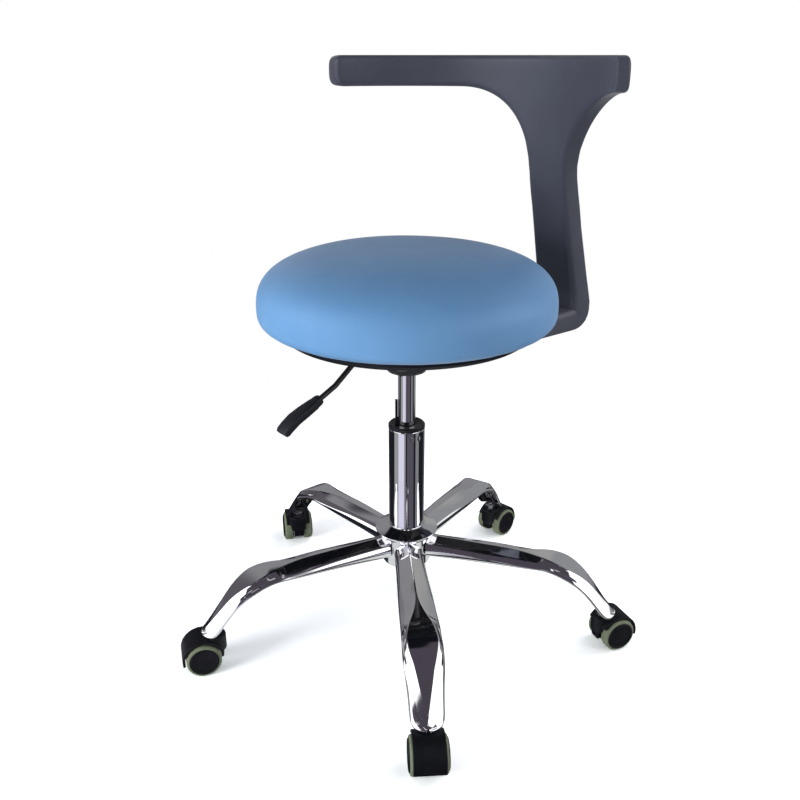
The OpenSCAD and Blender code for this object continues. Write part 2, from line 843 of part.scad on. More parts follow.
// Section of the hood over the wheels, seen from the side.
module hood_arch() {
  translate([trail, wheel_r]) difference() {
    circle(r = hood_r, $fn = smooth);
    circle(r = pocket_r, $fn = smooth);
    polygon(concat([[0, 0]], arc([0, 0], 3 * hood_r, hood_front, 360 + hood_tip, 12)));
  }
}

// Plate between the wheels that joins the arch, the boss and the axle.
module hood_web() {
  translate([trail, wheel_r]) {
    circle(r = axle_r + 5, $fn = smooth);
    intersection() {
      circle(r = hood_r - 0.5, $fn = smooth);
      translate([-hood_r, -axle_r - 5]) square([2 * hood_r - 12, 2 * hood_r]);
    }
  }
}

module hood(i) {
  boss_top = wheel_r + hood_r;
  color("black") at_caster(i) difference() {
    union() {
      across(hood_w) hood_arch();
      across(2 * web_half) hood_web();
      translate([0, 0, boss_low]) cylinder(r1 = boss_r - boss_chamfer, r2 = boss_r, h = boss_chamfer, $fn = smooth);
      translate([0, 0, boss_low + boss_chamfer])
        cylinder(r = boss_r, h = boss_top - boss_low - boss_chamfer - 2, $fn = smooth);
      translate([0, 0, boss_top - 2]) cylinder(r1 = boss_r, r2 = boss_r - 2, h = 2, $fn = smooth);
      translate([0, -boss_r, wheel_r + pocket_r]) cube([trail, 2 * boss_r, hood_r - pocket_r]);
    }
    for (side = [-1, 1]) translate([trail, side * (web_half + 30), wheel_r])
      rotate([90, 0, 0])
        cylinder(r = pocket_r, h = 60, center = true, $fn = smooth);
    translate([0, 0, stem_low - 0.5]) cylinder(r = stem_r + fit_gap, h = 60, $fn = smooth);
    translate([trail, 0, wheel_r]) rotate([90, 0, 0]) cylinder(r = axle_r + 0.02, h = 60, center = true, $fn = smooth);
  }
}

module axle(i) {
  color("silver") at_caster(i) translate([trail, 0, wheel_r])
    rotate([90, 0, 0])
      cylinder(r = axle_r, h = 2 * axle_half, center = true, $fn = smooth);
}

// Moulded wheel with a domed cap and a blind hole for the axle.
module core(i, side) {
  inside = wheel_gap / 2;
  color("black") at_caster(i) about_axle(side) polygon([
    [axle_r + fit_gap, inside],
    [core_r, inside],
    [core_r, inside + tyre_w],
    [core_r, core_rim - 1],
    [core_r - 1, core_rim],
    [core_r * 0.75, core_rim + core_dome * 0.6],
    [core_r * 0.4, core_rim + core_dome * 0.95],
    [0, core_rim + core_dome],
    [0, axle_half + 0.5],
    [axle_r + fit_gap, axle_half + 0.5]
  ]);
}

// Soft tread with rounded shoulders.
module tyre(i, side) {
  inside = wheel_gap / 2;
  color("darkseagreen") at_caster(i) about_axle(side) polygon(concat(
    [[core_r + 0.02, inside], [wheel_r - 2, inside]],
    arc([wheel_r - 2, inside + 2], 2, -90, 0, 3),
    arc([wheel_r - 3, inside + tyre_w - 3], 3, 0, 90, 4),
    [[core_r + 0.02, inside + tyre_w]]
  ));
}

module leg_front() { leg(0); }
module leg_right() { leg(1); }
module leg_back_right() { leg(2); }
module leg_back_left() { leg(3); }
module leg_left() { leg(4); }
module hood_front() { hood(0); }
module hood_right() { hood(1); }
module hood_back_right() { hood(2); }
module hood_back_left() { hood(3); }
module hood_left() { hood(4); }
module axle_front() { axle(0); }
module axle_right() { axle(1); }
module axle_back_right() { axle(2); }
module axle_back_left() { axle(3); }
module axle_left() { axle(4); }
module core_front_a() { core(0, 1); }
module core_front_b() { core(0, -1); }
module core_right_a() { core(1, 1); }
module core_right_b() { core(1, -1); }
module core_back_right_a() { core(2, 1); }
module core_back_right_b() { core(2, -1); }
module core_back_left_a() { core(3, 1); }
module core_back_left_b() { core(3, -1); }
module core_left_a() { core(4, 1); }
module core_left_b() { core(4, -1); }
module tyre_front_a() { tyre(0, 1); }
module tyre_front_b() { tyre(0, -1); }
module tyre_right_a() { tyre(1, 1); }
module tyre_right_b() { tyre(1, -1); }
module tyre_back_right_a() { tyre(2, 1); }
module tyre_back_right_b() { tyre(2, -1); }
module tyre_back_left_a() { tyre(3, 1); }
module tyre_back_left_b() { tyre(3, -1); }
module tyre_left_a() { tyre(4, 1); }
module tyre_left_b() { tyre(4, -1); }

hub();
leg_front();
leg_right();
leg_back_right();
leg_back_left();
leg_left();
caster_stems();
column_tube();
guide_bushing();
thrust_bearing();
piston_rod();
piston_head();
rod_clip();
gas_cylinder();
inner_cylinder();
rod_guide();
seat_mount();
seat_screws();
seat_board();
seat_pan();
seat_foam();
seat_cover();
lever_pin();
arm_clip();
arm_bush();
arm_bracket();
arm_pad();
lever_rod();
lever_paddle();
valve_pin();
hood_front();
hood_right();
hood_back_right();
hood_back_left();
hood_left();
axle_front();
axle_right();
axle_back_right();
axle_back_left();
axle_left();
core_front_a();
core_front_b();
core_right_a();
core_right_b();
core_back_right_a();
core_back_right_b();
core_back_left_a();
core_back_left_b();
core_left_a();
core_left_b();
tyre_front_a();
tyre_front_b();
tyre_right_a();
tyre_right_b();
tyre_back_right_a();
tyre_back_right_b();
tyre_back_left_a();
tyre_back_left_b();
tyre_left_a();
tyre_left_b();
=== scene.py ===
"""Looks of the dentist stool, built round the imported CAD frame."""

import json
import math

import bmesh
import bpy
import numpy as np
from mathutils import Matrix, Vector, noise
from mathutils.geometry import delaunay_2d_cdt


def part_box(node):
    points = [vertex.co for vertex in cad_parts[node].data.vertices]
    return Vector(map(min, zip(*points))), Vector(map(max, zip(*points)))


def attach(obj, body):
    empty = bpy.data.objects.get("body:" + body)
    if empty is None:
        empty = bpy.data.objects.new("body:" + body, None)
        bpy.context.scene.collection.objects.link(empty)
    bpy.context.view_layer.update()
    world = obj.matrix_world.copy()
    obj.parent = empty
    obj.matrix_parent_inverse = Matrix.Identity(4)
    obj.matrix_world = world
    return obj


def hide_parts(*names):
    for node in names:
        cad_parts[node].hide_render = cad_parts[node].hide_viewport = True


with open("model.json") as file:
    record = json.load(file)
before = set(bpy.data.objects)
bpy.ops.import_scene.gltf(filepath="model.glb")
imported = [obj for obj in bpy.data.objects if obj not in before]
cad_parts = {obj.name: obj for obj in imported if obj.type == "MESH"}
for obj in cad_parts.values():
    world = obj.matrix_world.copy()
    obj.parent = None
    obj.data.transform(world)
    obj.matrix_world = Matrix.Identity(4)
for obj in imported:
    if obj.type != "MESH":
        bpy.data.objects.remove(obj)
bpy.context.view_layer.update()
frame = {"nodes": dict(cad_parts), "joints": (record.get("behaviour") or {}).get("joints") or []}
MM = 0.001
JOINTS = {j["name"]: j for j in frame["joints"]}
PLACES = ["front", "right", "back_right", "back_left", "left"]
scene = bpy.context.scene


# ---------------------------------------------------------------- mesh helpers

def new_object(name, mesh, material=None):
    """Object in the scene, its mesh given the material."""
    obj = bpy.data.objects.new(name, mesh)
    scene.collection.objects.link(obj)
    if material:
        mesh.materials.clear()
        mesh.materials.append(material)
    return obj


def finish_mesh(mesh, sharp_deg=35):
    """Smooth shading with edges sharper than sharp_deg kept crisp, normals outwards."""
    bm = bmesh.new()
    bm.from_mesh(mesh)
    bmesh.ops.remove_doubles(bm, verts=bm.verts, dist=1e-6)
    bmesh.ops.dissolve_degenerate(bm, edges=bm.edges, dist=1e-7)
    bmesh.ops.recalc_face_normals(bm, faces=bm.faces)
    for face in bm.faces:
        face.smooth = True
    limit = math.radians(sharp_deg)
    for edge in bm.edges:
        edge.smooth = not (edge.is_manifold and edge.calc_face_angle(0) > limit)
    bm.to_mesh(mesh)
    bm.free()


def mesh_from(name, verts, faces, sharp_deg=35):
    """Finished mesh from points in metres and faces."""
    mesh = bpy.data.meshes.new(name)
    mesh.from_pydata([tuple(v) for v in verts], [], faces)
    finish_mesh(mesh, sharp_deg)
    return mesh


def rounded(points, radii, steps=5, closed=False):
    """A polyline with each corner replaced by a curve of about the given radius, one radius or a list."""
    pts = [np.array(p, float) for p in points]
    n = len(pts)
    if not hasattr(radii, "__len__"):
        radii = [radii] * n
    out = []
    for i, p in enumerate(pts):
        if not closed and i in (0, n - 1):
            out.append(p)
            continue
        a, b = pts[i - 1] - p, pts[(i + 1) % n] - p
        la, lb = np.linalg.norm(a), np.linalg.norm(b)
        a, b = a / max(la, 1e-9), b / max(lb, 1e-9)
        angle = math.acos(max(-1, min(1, float(a @ b))))
        cut = 0 if angle > 3.13 else min(radii[i] / math.tan(angle / 2), 0.45 * la, 0.45 * lb)
        start, end = p + a * cut, p + b * cut
        for k in range(steps + 1):
            t = k / steps
            out.append((1 - t) ** 2 * start + 2 * t * (1 - t) * p + t * t * end)
    return np.array(out)


def revolve(name, profile, steps=96, sharp_deg=35):
    """Closed solid of revolution about Z from a closed (radius, height) outline in mm."""
    profile = np.array(profile, float)
    n = len(profile)
    angles = np.arange(steps) * 2 * math.pi / steps
    verts = np.concatenate([
        np.stack([profile[:, 0] * math.cos(a), profile[:, 0] * math.sin(a), profile[:, 1]], 1) for a in angles
    ]) * MM
    faces = [
        (k * n + i, ((k + 1) % steps) * n + i, ((k + 1) % steps) * n + (i + 1) % n, k * n + (i + 1) % n)
        for k in range(steps) for i in range(n)
    ]
    return mesh_from(name, verts, faces, sharp_deg)


def loft(name, rings, caps=True, closed_ring=True, sharp_deg=35):
    """Skin over rings of equal length, each an array of 3-D points in mm."""
    n = len(rings[0])
    verts = np.concatenate([np.array(r, float) for r in rings]) * MM
    span = n if closed_ring else n - 1
    faces = [
        (k * n + i, k * n + (i + 1) % n, (k + 1) * n + (i + 1) % n, (k + 1) * n + i)
        for k in range(len(rings) - 1) for i in range(span)
    ]
    if caps:
        faces.append(tuple(range(n)))
        faces.append(tuple((len(rings) - 1) * n + i for i in reversed(range(n))))
    return mesh_from(name, verts, faces, sharp_deg)


def smoothstep(x, a, b):
    """0 below a, 1 above b, with a soft rise between them."""
    t = min(max((x - a) / (b - a), 0), 1)
    return t * t * (3 - 2 * t)


def remesh(obj, voxel, relax):
    """Voxel remesh, then as many rounds of relaxing, which rounds every edge; leaves plain mesh data."""
    mod = obj.modifiers.new("remesh", "REMESH")
    mod.mode = "VOXEL"
    mod.voxel_size = voxel * MM
    mod.use_smooth_shade = True
    mod = obj.modifiers.new("relax", "SMOOTH")
    mod.factor = 0.5
    mod.iterations = relax
    apply_modifiers(obj)
    for face in obj.data.polygons:
        face.use_smooth = True


def apply_modifiers(obj):
    """Replaces an object's mesh by its evaluated one."""
    depsgraph = bpy.context.evaluated_depsgraph_get()
    mesh = bpy.data.meshes.new_from_object(obj.evaluated_get(depsgraph))
    obj.modifiers.clear()
    obj.data = mesh


# ------------------------------------------------------------ material helpers

class Nodes:
    """Small wrapper that makes and links shader nodes."""

    def __init__(self, tree):
        self.tree = tree
        tree.nodes.clear()

    def add(self, kind, inputs=None, **props):
        node = self.tree.nodes.new(kind)
        for key, value in props.items():
            setattr(node, key, value)
        for key, value in (inputs or {}).items():
            if hasattr(value, "is_output"):
                self.tree.links.new(value, node.inputs[key])
            else:
                node.inputs[key].default_value = value
        return node

    def math(self, op, a, b=0.0, c=0.0, clamp=False):
        node = self.add("ShaderNodeMath", {0: a, 1: b, 2: c}, operation=op, use_clamp=clamp)
        return node.outputs[0]

    def noise(self, vector, scale, detail=3.0, rough=0.5):
        node = self.add("ShaderNodeTexNoise", {
            "Vector": vector, "Scale": scale, "Detail": detail, "Roughness": rough})
        return node.outputs["Fac"]

    def voronoi(self, vector, scale, feature="F1"):
        node = self.add("ShaderNodeTexVoronoi", {"Vector": vector, "Scale": scale}, feature=feature)
        return node.outputs["Distance"]

    def ramp(self, value, low, high, out_low=0.0, out_high=1.0):
        node = self.add("ShaderNodeMapRange", {
            "Value": value, "From Min": low, "From Max": high, "To Min": out_low, "To Max": out_high})
        node.interpolation_type = "SMOOTHSTEP"
        return node.outputs["Result"]

    def mix(self, fac, a, b):
        node = self.add("ShaderNodeMix", data_type="RGBA")
        for socket, value in ((0, fac), (6, a), (7, b)):
            if hasattr(value, "is_output"):
                self.tree.links.new(value, node.inputs[socket])
            else:
                node.inputs[socket].default_value = value
        return node.outputs[2]

    def bump(self, height, strength, distance, normal=None):
        inputs = {"Height": height, "Strength": strength, "Distance": distance}
        if normal:
            inputs["Normal"] = normal
        return self.add("ShaderNodeBump", inputs).outputs["Normal"]


def rgb(r, g, b):
    return (r, g, b, 1.0)


def surface(name, color, roughness, metallic=0.0, vary=0.12, vary_scale=18.0, grain=None, cells=None,
            rough_vary=0.06, edge=0.0, coat=0.0, sheen=0.0, wave=0.0, specular=0.5):
    """Procedural Principled material: colour drift, roughness drift, grain or cell bump, paler sharp edges."""
    material = bpy.data.materials.new(name)
    material.use_nodes = True
    n = Nodes(material.node_tree)
    where = n.add("ShaderNodeTexCoord").outputs["Object"]
    drift = n.noise(where, vary_scale, 4.0)
    dark = [c * (1 - vary) for c in color]
    pale = [min(c * (1 + vary), 1) for c in color]
    shade = n.mix(n.ramp(drift, 0.3, 0.7), rgb(*dark), rgb(*pale))
    if edge:
        # paler colour on sharp edges, from pointiness
        sharp = n.add("ShaderNodeNewGeometry").outputs["Pointiness"]
        pale_edge_share = n.math("MULTIPLY", n.ramp(sharp, 0.52, 0.62), edge)
        shade = n.mix(pale_edge_share, shade, rgb(*[min(c * 2.2 + 0.03, 1) for c in color]))
    fine = n.noise(where, 260.0, 3.0)
    rough = n.math("ADD", roughness - rough_vary / 2, n.math("MULTIPLY", fine, rough_vary))
    normal = None
    if wave:
        normal = n.bump(n.noise(where, 22.0, 1.0), wave, 0.002)
    if cells:
        scale, strength = cells
        normal = n.bump(n.voronoi(where, scale), strength, 0.0004, normal)
    if grain:
        scale, strength = grain
        normal = n.bump(n.noise(where, scale, 4.0, 0.6), strength, 0.0003, normal)
    inputs = {
        "Base Color": shade, "Roughness": rough, "Metallic": metallic, "Specular IOR Level": specular,
        "Coat Weight": coat, "Coat Roughness": 0.25, "Sheen Weight": sheen, "Sheen Roughness": 0.4,
    }
    if normal:
        inputs["Normal"] = normal
    shader = n.add("ShaderNodeBsdfPrincipled", inputs)
    n.add("ShaderNodeOutputMaterial", {"Surface": shader.outputs[0]})
    return material


CHROME = surface("chrome", (0.8, 0.8, 0.82), 0.07, 1.0, vary=0.03, rough_vary=0.05, wave=0.004)
CHROME_TUBE = surface("chrome_tube", (0.82, 0.82, 0.84), 0.05, 1.0, vary=0.02, rough_vary=0.03)
STEEL = surface("machined_steel", (0.32, 0.32, 0.34), 0.3, 1.0, vary=0.1, grain=(900.0, 0.12),
                rough_vary=0.15)
ALLOY = surface("turned_alloy", (0.62, 0.62, 0.64), 0.28, 1.0, vary=0.08, grain=(700.0, 0.1),
                rough_vary=0.12)
BLACK_STEEL = surface("black_paint", (0.012, 0.012, 0.014), 0.32, vary=0.3, grain=(500.0, 0.12), edge=0.3,
                      coat=0.2)
HOOD = surface("hood_plastic", (0.005, 0.0055, 0.008), 0.5, specular=0.22, vary=0.25, vary_scale=60.0,
               grain=(1500.0, 0.25), edge=0.35)
CAP = surface("wheel_cap_plastic", (0.005, 0.005, 0.008), 0.46, specular=0.2, vary=0.25, vary_scale=60.0,
              grain=(1700.0, 0.25), edge=0.3)
PAN = surface("pan_plastic", (0.006, 0.007, 0.011), 0.45, specular=0.2, vary=0.25, grain=(1200.0, 0.3),
              edge=0.3)
PADDLE = surface("paddle_plastic", (0.014, 0.015, 0.019), 0.45, specular=0.3, vary=0.15, vary_scale=50.0,
                 grain=(1400.0, 0.3), edge=0.25)
BUSH = surface("bush_plastic", (0.006, 0.006, 0.009), 0.35, specular=0.3, vary=0.2, grain=(1200.0, 0.2),
               edge=0.3)
WHITE_PLASTIC = surface("white_plastic", (0.7, 0.7, 0.68), 0.4, vary=0.05, grain=(1200.0, 0.15))
TYRE = surface("tyre_rubber", (0.17, 0.195, 0.125), 0.6, vary=0.12, vary_scale=90.0, grain=(1300.0, 0.4),
               edge=0.15)
ARM_SKIN = surface("arm_foam_skin", (0.050, 0.053, 0.073), 0.44, vary=0.1, vary_scale=9.0,
                   grain=(900.0, 0.25), cells=(1500.0, 0.12), rough_vary=0.1, edge=0.12, sheen=0.15)
PLY = surface("plywood", (0.5, 0.35, 0.2), 0.6, vary=0.2, grain=(300.0, 0.4))


def leatherette():
    """Sky-blue artificial leather: pebbled grain with painted shade in its pits, faint creases, satin top
    coat.
    """
    material = bpy.data.materials.new("sky_blue_leatherette")
    material.use_nodes = True
    n = Nodes(material.node_tree)
    where = n.add("ShaderNodeTexCoord").outputs["Object"]
    drift = n.noise(where, 7.0, 4.0)
    shade = n.mix(n.ramp(drift, 0.3, 0.7), rgb(0.110, 0.262, 0.495), rgb(0.133, 0.298, 0.538))
    cells = n.voronoi(where, 1150.0)
    lines = n.voronoi(where, 520.0, "DISTANCE_TO_EDGE")
    pits = n.ramp(cells, 0.0, 0.6)
    # painted shade: the bottoms of the grain's pits are darkened
    painted_pit_shade = n.math("MULTIPLY", n.ramp(pits, 0.0, 0.5, 1.0, 0.0), 0.10)
    shade = n.mix(painted_pit_shade, shade, rgb(0.07, 0.19, 0.42))
    rough = n.math("ADD", 0.40, n.math("MULTIPLY", n.noise(where, 160.0, 3.0), 0.14))
    normal = n.bump(n.noise(where, 55.0, 3.0), 0.10, 0.0012)
    normal = n.bump(n.ramp(lines, 0.0, 0.12), 0.12, 0.0003, normal)
    normal = n.bump(cells, 0.22, 0.0003, normal)
    shader = n.add("ShaderNodeBsdfPrincipled", {
        "Base Color": shade, "Roughness": rough, "Normal": normal, "Coat Weight": 0.12, "Coat Roughness": 0.35,
        "Sheen Weight": 0.12, "Sheen Roughness": 0.4, "Specular IOR Level": 0.45})
    n.add("ShaderNodeOutputMaterial", {"Surface": shader.outputs[0]})
    return material


LEATHER = leatherette()


def dress(node, material):
    """Gives a CAD node a procedural material and crisp-but-smooth shading."""
    obj = frame["nodes"][node]
    obj.data.materials.clear()
    obj.data.materials.append(material)
    for face in obj.data.polygons:
        face.use_smooth = True
    obj.data.set_sharp_from_angle(angle=math.radians(32))


# ------------------------------------------------------------------------ legs

# distances in mm from the column's axis, heights in mm, angles in degrees
LEG_ROOT, LEG_BEND, LEG_STEEP = 28.0, 195.0, 52.0
LEG_TOP, LEG_TOP_FALL, LEG_TOP_R = 146.0, 3.0, 100.0
LEG_UNDER, LEG_UNDER_FALL, LEG_UNDER_R = 118.0, -1.8, 85.0
ROOT_W, MAX_W, TIP_W, TIP_REACH = 36.0, 48.6, 40.0, 17.0
WIDE_X = 236.0  # where a leg is widest
RIDGE, FACET, FACET_START, FACET_TAPER = 0.6, 19.0, 150.0, 0.33
PRESS_START, PRESS_END = 120.0, 225.0  # the round root turns into the pressed, faceted end
OPEN_START, OPEN_END = 192.0, 230.0  # the closed underside opens into two side walls
SHEET = 2.0
SMOOTH_ROUNDS = 4
COLLAR_OUT = 10.0  # the hub's rim beyond its sleeve


def leg_z(start_z, fall, r, x):
    """Height of a leg's top or underside at distance x from the column's axis."""
    fa, st = math.radians(fall), math.radians(LEG_STEEP)
    bend_z = start_z - (LEG_BEND - LEG_ROOT) * math.tan(fa)
    cx, cz = LEG_BEND - r * math.sin(fa), bend_z - r * math.cos(fa)
    lx, lz = cx + r * math.sin(st), cz + r * math.cos(st)
    if x < LEG_BEND:
        return start_z - (x - LEG_ROOT) * math.tan(fa)
    if x < lx:
        return cz + math.sqrt(r * r - (x - cx) ** 2)
    return lz - (x - lx) * math.tan(st)


def leg_half(x, stem_r):
    """Half width of a leg: widening to WIDE_X, narrowing to the stem, then round at the tip."""
    if x < WIDE_X:
        t = (x - LEG_ROOT) / (WIDE_X - LEG_ROOT)
        return ROOT_W / 2 + (MAX_W - ROOT_W) * (1 - math.cos(math.pi * t)) / 4
    if x < stem_r:
        t = (x - WIDE_X) / (stem_r - WIDE_X)
        return TIP_W / 2 + (MAX_W - TIP_W) * (1 + math.cos(math.pi * t)) / 4
    return TIP_W / 2 * math.sqrt(max(1 - ((x - stem_r) / TIP_REACH) ** 2, 0.02))


def leg_flat(x):
    """Half width of the facet along the top: a ridge at first, then wide, then narrow."""
    past = x - WIDE_X + 2
    fall = FACET_TAPER * (past + math.sqrt(past * past + 30)) / 2
    return RIDGE + FACET * smoothstep(x, FACET_START, WIDE_X) - fall


def soft_max(a, b, blend):
    """The larger of two values, the change from one to the other rounded over."""
    return b + ((a - b) + math.sqrt((a - b) ** 2 + blend * blend)) / 2


def leg_section(x, stem_r, end_z):
    """Strip of points over a leg at x, from one lower edge over the top to the other."""
    half = leg_half(x, stem_r)
    under = soft_max(leg_z(LEG_UNDER, LEG_UNDER_FALL, LEG_UNDER_R, x), end_z, 2.0)
    top = soft_max(leg_z(LEG_TOP, LEG_TOP_FALL, LEG_TOP_R, x), under + 2.5, 3.0)
    depth = top - under
    press = smoothstep(x, PRESS_START, PRESS_END)
    opening = smoothstep(x, OPEN_START, OPEN_END)
    flat = min(leg_flat(x), half * 0.82)
    shoulder = top - depth * (0.46 + 0.22 * press)
    foot_y = half * 0.10 * (1 - opening) + (half - 0.9) * opening
    slope_y = half * 0.80 * (1 - press) + ((flat + half) / 2 + 0.5) * press
    corners = [
        (0.0, top),
        (flat, top),
        (max(slope_y, flat + 1.0), top - depth * (0.23 + 0.21 * press)),
        (half - 2.2 * press, shoulder),
        (half, under + depth * 0.20 * (1 - opening) + 0.9),
        (foot_y, under),
    ]
    soft = 1 - press
    edge_r = 12 * soft + 3 * press
    radii = [0, 0.5 + 1.3 * press, edge_r, edge_r, 12 * soft + 1.0, 0]
    side = rounded(corners, radii, 5)
    right = [(x, y, z) for y, z in side]
    left = [(x, -y, z) for y, z in side[::-1]]
    return left[:-1] + right


def leg_mesh(stem_r, hub_r, end_z):
    """One pressed leg along +X: rings over its length, smoothed along it, then thickened inwards."""
    reach = stem_r + TIP_REACH - 0.2
    xs = list(np.linspace(hub_r - 2, LEG_BEND - 20, 22))
    xs += list(np.linspace(LEG_BEND - 14, stem_r, 40))
    xs += [stem_r + (reach - stem_r) * math.sin(math.pi / 2 * k / 9) for k in range(1, 10)]
    rings = np.array([leg_section(x, stem_r, end_z) for x in xs])
    for _ in range(SMOOTH_ROUNDS):
        rings[1:-1] = (rings[:-2] + 2 * rings[1:-1] + rings[2:]) / 4
    mesh = loft("leg", rings, caps=False, closed_ring=False, sharp_deg=75)
    obj = new_object("leg_shape", mesh)
    mod = obj.modifiers.new("sheet", "SOLIDIFY")
    mod.thickness = SHEET * MM
    mod.offset = -1
    mod.use_even_offset = False
    apply_modifiers(obj)
    mesh = obj.data
    bpy.data.objects.remove(obj)
    finish_mesh(mesh, 75)
    return mesh


def make_legs():
    axis = JOINTS["swivel_front"]["pos_m"]
    stem_r = math.hypot(axis[0], axis[1]) / MM
    hub_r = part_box("hub")[1].x / MM - COLLAR_OUT
    end_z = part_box("leg_front")[0].z / MM
    mesh = leg_mesh(stem_r, hub_r, end_z)
    low, high = end_z + 0.4, end_z + 5.5
    sleeve = revolve("stem_sleeve", rounded(
        [(5.6, low), (8.6, low), (8.6, high), (5.6, high)], 0.7, 3, closed=True), 48)
    for place in PLACES:
        node = "leg_" + place
        pos = JOINTS["swivel_" + place]["pos_m"]
        leg = new_object("pressed_" + node, mesh, CHROME)
        leg.rotation_euler.z = math.atan2(pos[1], pos[0])
        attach(leg, "base")
        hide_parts(node)
        stem = new_object("stem_sleeve_" + place, sleeve, STEEL)
        stem.location = (pos[0], pos[1], 0)
        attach(stem, "base")


# ------------------------------------------------------------- hub and column

def make_hub():
    """Sleeve with a neck and a collar that slopes up to the tube."""
    low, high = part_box("hub")
    z0, z1 = low.z / MM, high.z / MM
    rim = high.x / MM
    sleeve_r = rim - COLLAR_OUT
    tube_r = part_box("column_tube")[1].x / MM
    neck = z1 - 17.5
    outline = rounded([
        (tube_r - 1.2, z0), (sleeve_r, z0), (sleeve_r, neck), (sleeve_r + 3, neck + 5), (rim, z1 - 9.5),
        (rim, z1 - 7.3), (tube_r + 1.8, z1), (tube_r + 0.05, z1), (tube_r - 1.2, z0 + 5),
    ], [0.3, 1.4, 5, 3, 0.7, 0.7, 0.8, 0.2, 0.1], 4, closed=True)
    hub = new_object("hub_sleeve", revolve("hub", outline, 128, 40), CHROME)
    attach(hub, "base")
    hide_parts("hub")


def make_column():
    """Fixed tube of the lift with a rolled top edge and two small dents pressed in below it."""
    low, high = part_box("column_tube")
    r, z0, z1 = high.x / MM, low.z / MM, high.z / MM
    hub_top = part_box("hub")[1].z / MM
    side = [(r, z) for z in np.linspace(hub_top - 1, z1 - 1.2, 90)]
    outline = [(r - 1.4, z0), *side, (r - 0.4, z1 - 0.2), (r - 1.4, z1), (r - 1.5, z1 - 2), (r - 1.6, z0 + 3),
               (5.4, z0 + 3), (5.4, z0)]
    mesh = revolve("column", outline, 192, 50)
    dents = [(math.radians(-74), z1 - 9.8), (math.radians(-47), z1 - 10.1)]
    dent_depth, dent_spread = 1.1, 3.2
    for v in mesh.vertices:
        x, y, z = v.co / MM
        if math.hypot(x, y) < r - 0.2:
            continue
        for angle, height in dents:
            across = (math.atan2(y, x) - angle) * r
            near = math.exp(-(across ** 2 + (z - height) ** 2) / dent_spread)
            v.co.x -= dent_depth * near * math.cos(angle) * MM
            v.co.y -= dent_depth * near * math.sin(angle) * MM
    tube = new_object("column_sleeve", mesh, CHROME_TUBE)
    tube.visible_glossy = False
    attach(tube, "base")
    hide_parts("column_tube")


# --------------------------------------------------------------------- casters

TYRE_W = 14.0
WHEEL_GAP = 9.0  # from the caster's middle to a tyre's inner face
AXLE_HOLE_R = 3.05


def wheel_meshes(w, wheel_r, core_r):
    """Tyre of width w and core of one wheel, drawn about Z from the tyre's inner face, the outer face up."""
    tyre = rounded([
        (core_r - 0.2, 0), (wheel_r - 1.6, 0), (wheel_r - 0.2, 1.6), (wheel_r, w * 0.5),
        (wheel_r - 0.2, w - 2.2), (wheel_r - 1.8, w), (core_r - 0.2, w),
    ], [0.4, 1.2, 1.5, 6, 1.5, 1.6, 0.8], 4, closed=True)
    cap = w + 1.5
    core = [
        (0, cap - 4), (AXLE_HOLE_R, cap - 4), (AXLE_HOLE_R, -0.9), (core_r - 1.5, -0.9), (core_r - 0.1, 0.4),
        (core_r - 0.1, w - 0.2), (core_r - 0.6, cap - 0.5), (core_r - 1.6, cap), (core_r - 3.0, cap),
        (core_r - 3.8, cap - 0.8), (7.0, cap + 0.2), (0, cap + 0.5),
    ]
    core = rounded(core, [0, 0.1, 0.1, 0.6, 0.4, 0.4, 0.5, 0.5, 0.5, 0.6, 3.0, 0], 3, closed=True)
    return revolve("tyre", tyre, 96, 45), revolve("core", core, 96, 30)


def to_axle(pos, axis, side):
    """Places a wheel drawn about Z on its axle, its outer face towards the side."""
    z = Vector(axis) * side
    x = Vector((0, 0, 1))
    y = z.cross(x)
    turn = Matrix((x, y, z)).transposed().to_4x4()
    return Matrix.Translation(Vector(pos)) @ turn


def hood_mesh():
    """One hood with softened edges, in the caster's own frame with the trail along +X."""
    node = frame["nodes"]["hood_front"]
    pos = Vector(JOINTS["swivel_front"]["pos_m"])
    axle = JOINTS["wheel_front_a"]["axis"]
    heading = math.atan2(-axle[0], axle[1])
    mesh = node.data.copy()
    mesh.transform(Matrix.Rotation(-heading, 4, "Z") @ Matrix.Translation((-pos.x, -pos.y, 0)))
    obj = new_object("hood_shape", mesh)
    remesh(obj, 0.7, 8)
    mesh = obj.data
    bpy.data.objects.remove(obj)
    return mesh


def make_casters():
    """Five hoods with two wheels each."""
    hood = hood_mesh()
    wheel_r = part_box("tyre_right_a")[1].z / MM / 2
    core_low, core_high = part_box("core_right_a")
    core_r = (core_high.z - core_low.z) / MM / 2
    tyre, core = wheel_meshes(TYRE_W, wheel_r, core_r)
    for place in PLACES:
        pos = Vector(JOINTS["swivel_" + place]["pos_m"])
        axis = JOINTS[f"wheel_{place}_a"]["axis"]
        heading = math.atan2(-axis[0], axis[1])
        shell = new_object("caster_hood_" + place, hood, HOOD)
        shell.matrix_world = Matrix.Translation((pos.x, pos.y, 0)) @ Matrix.Rotation(heading, 4, "Z")
        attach(shell, "caster_" + place)
        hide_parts("hood_" + place)
        for letter in "ab":
            centre = Vector(JOINTS[f"wheel_{place}_{letter}"]["pos_m"])
            low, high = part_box(f"tyre_{place}_{letter}")
            outwards = Vector(axis)
            sign = 1 if ((low + high) / 2 - centre).dot(outwards) > 0 else -1
            seat = centre + outwards * sign * WHEEL_GAP * MM
            kinds = (("tyre", tyre, TYRE, "tyre"), ("core", core, CAP, "black_plastic"))
            for kind, mesh, material, slot in kinds:
                part = new_object(f"wheel_{kind}_{place}_{letter}", mesh, material)
                part.matrix_world = to_axle(seat, axis, sign)
                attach(part, f"wheel_{place}_{letter}")
                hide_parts(f"{kind}_{place}_{letter}")


# ------------------------------------------------------------------------ seat

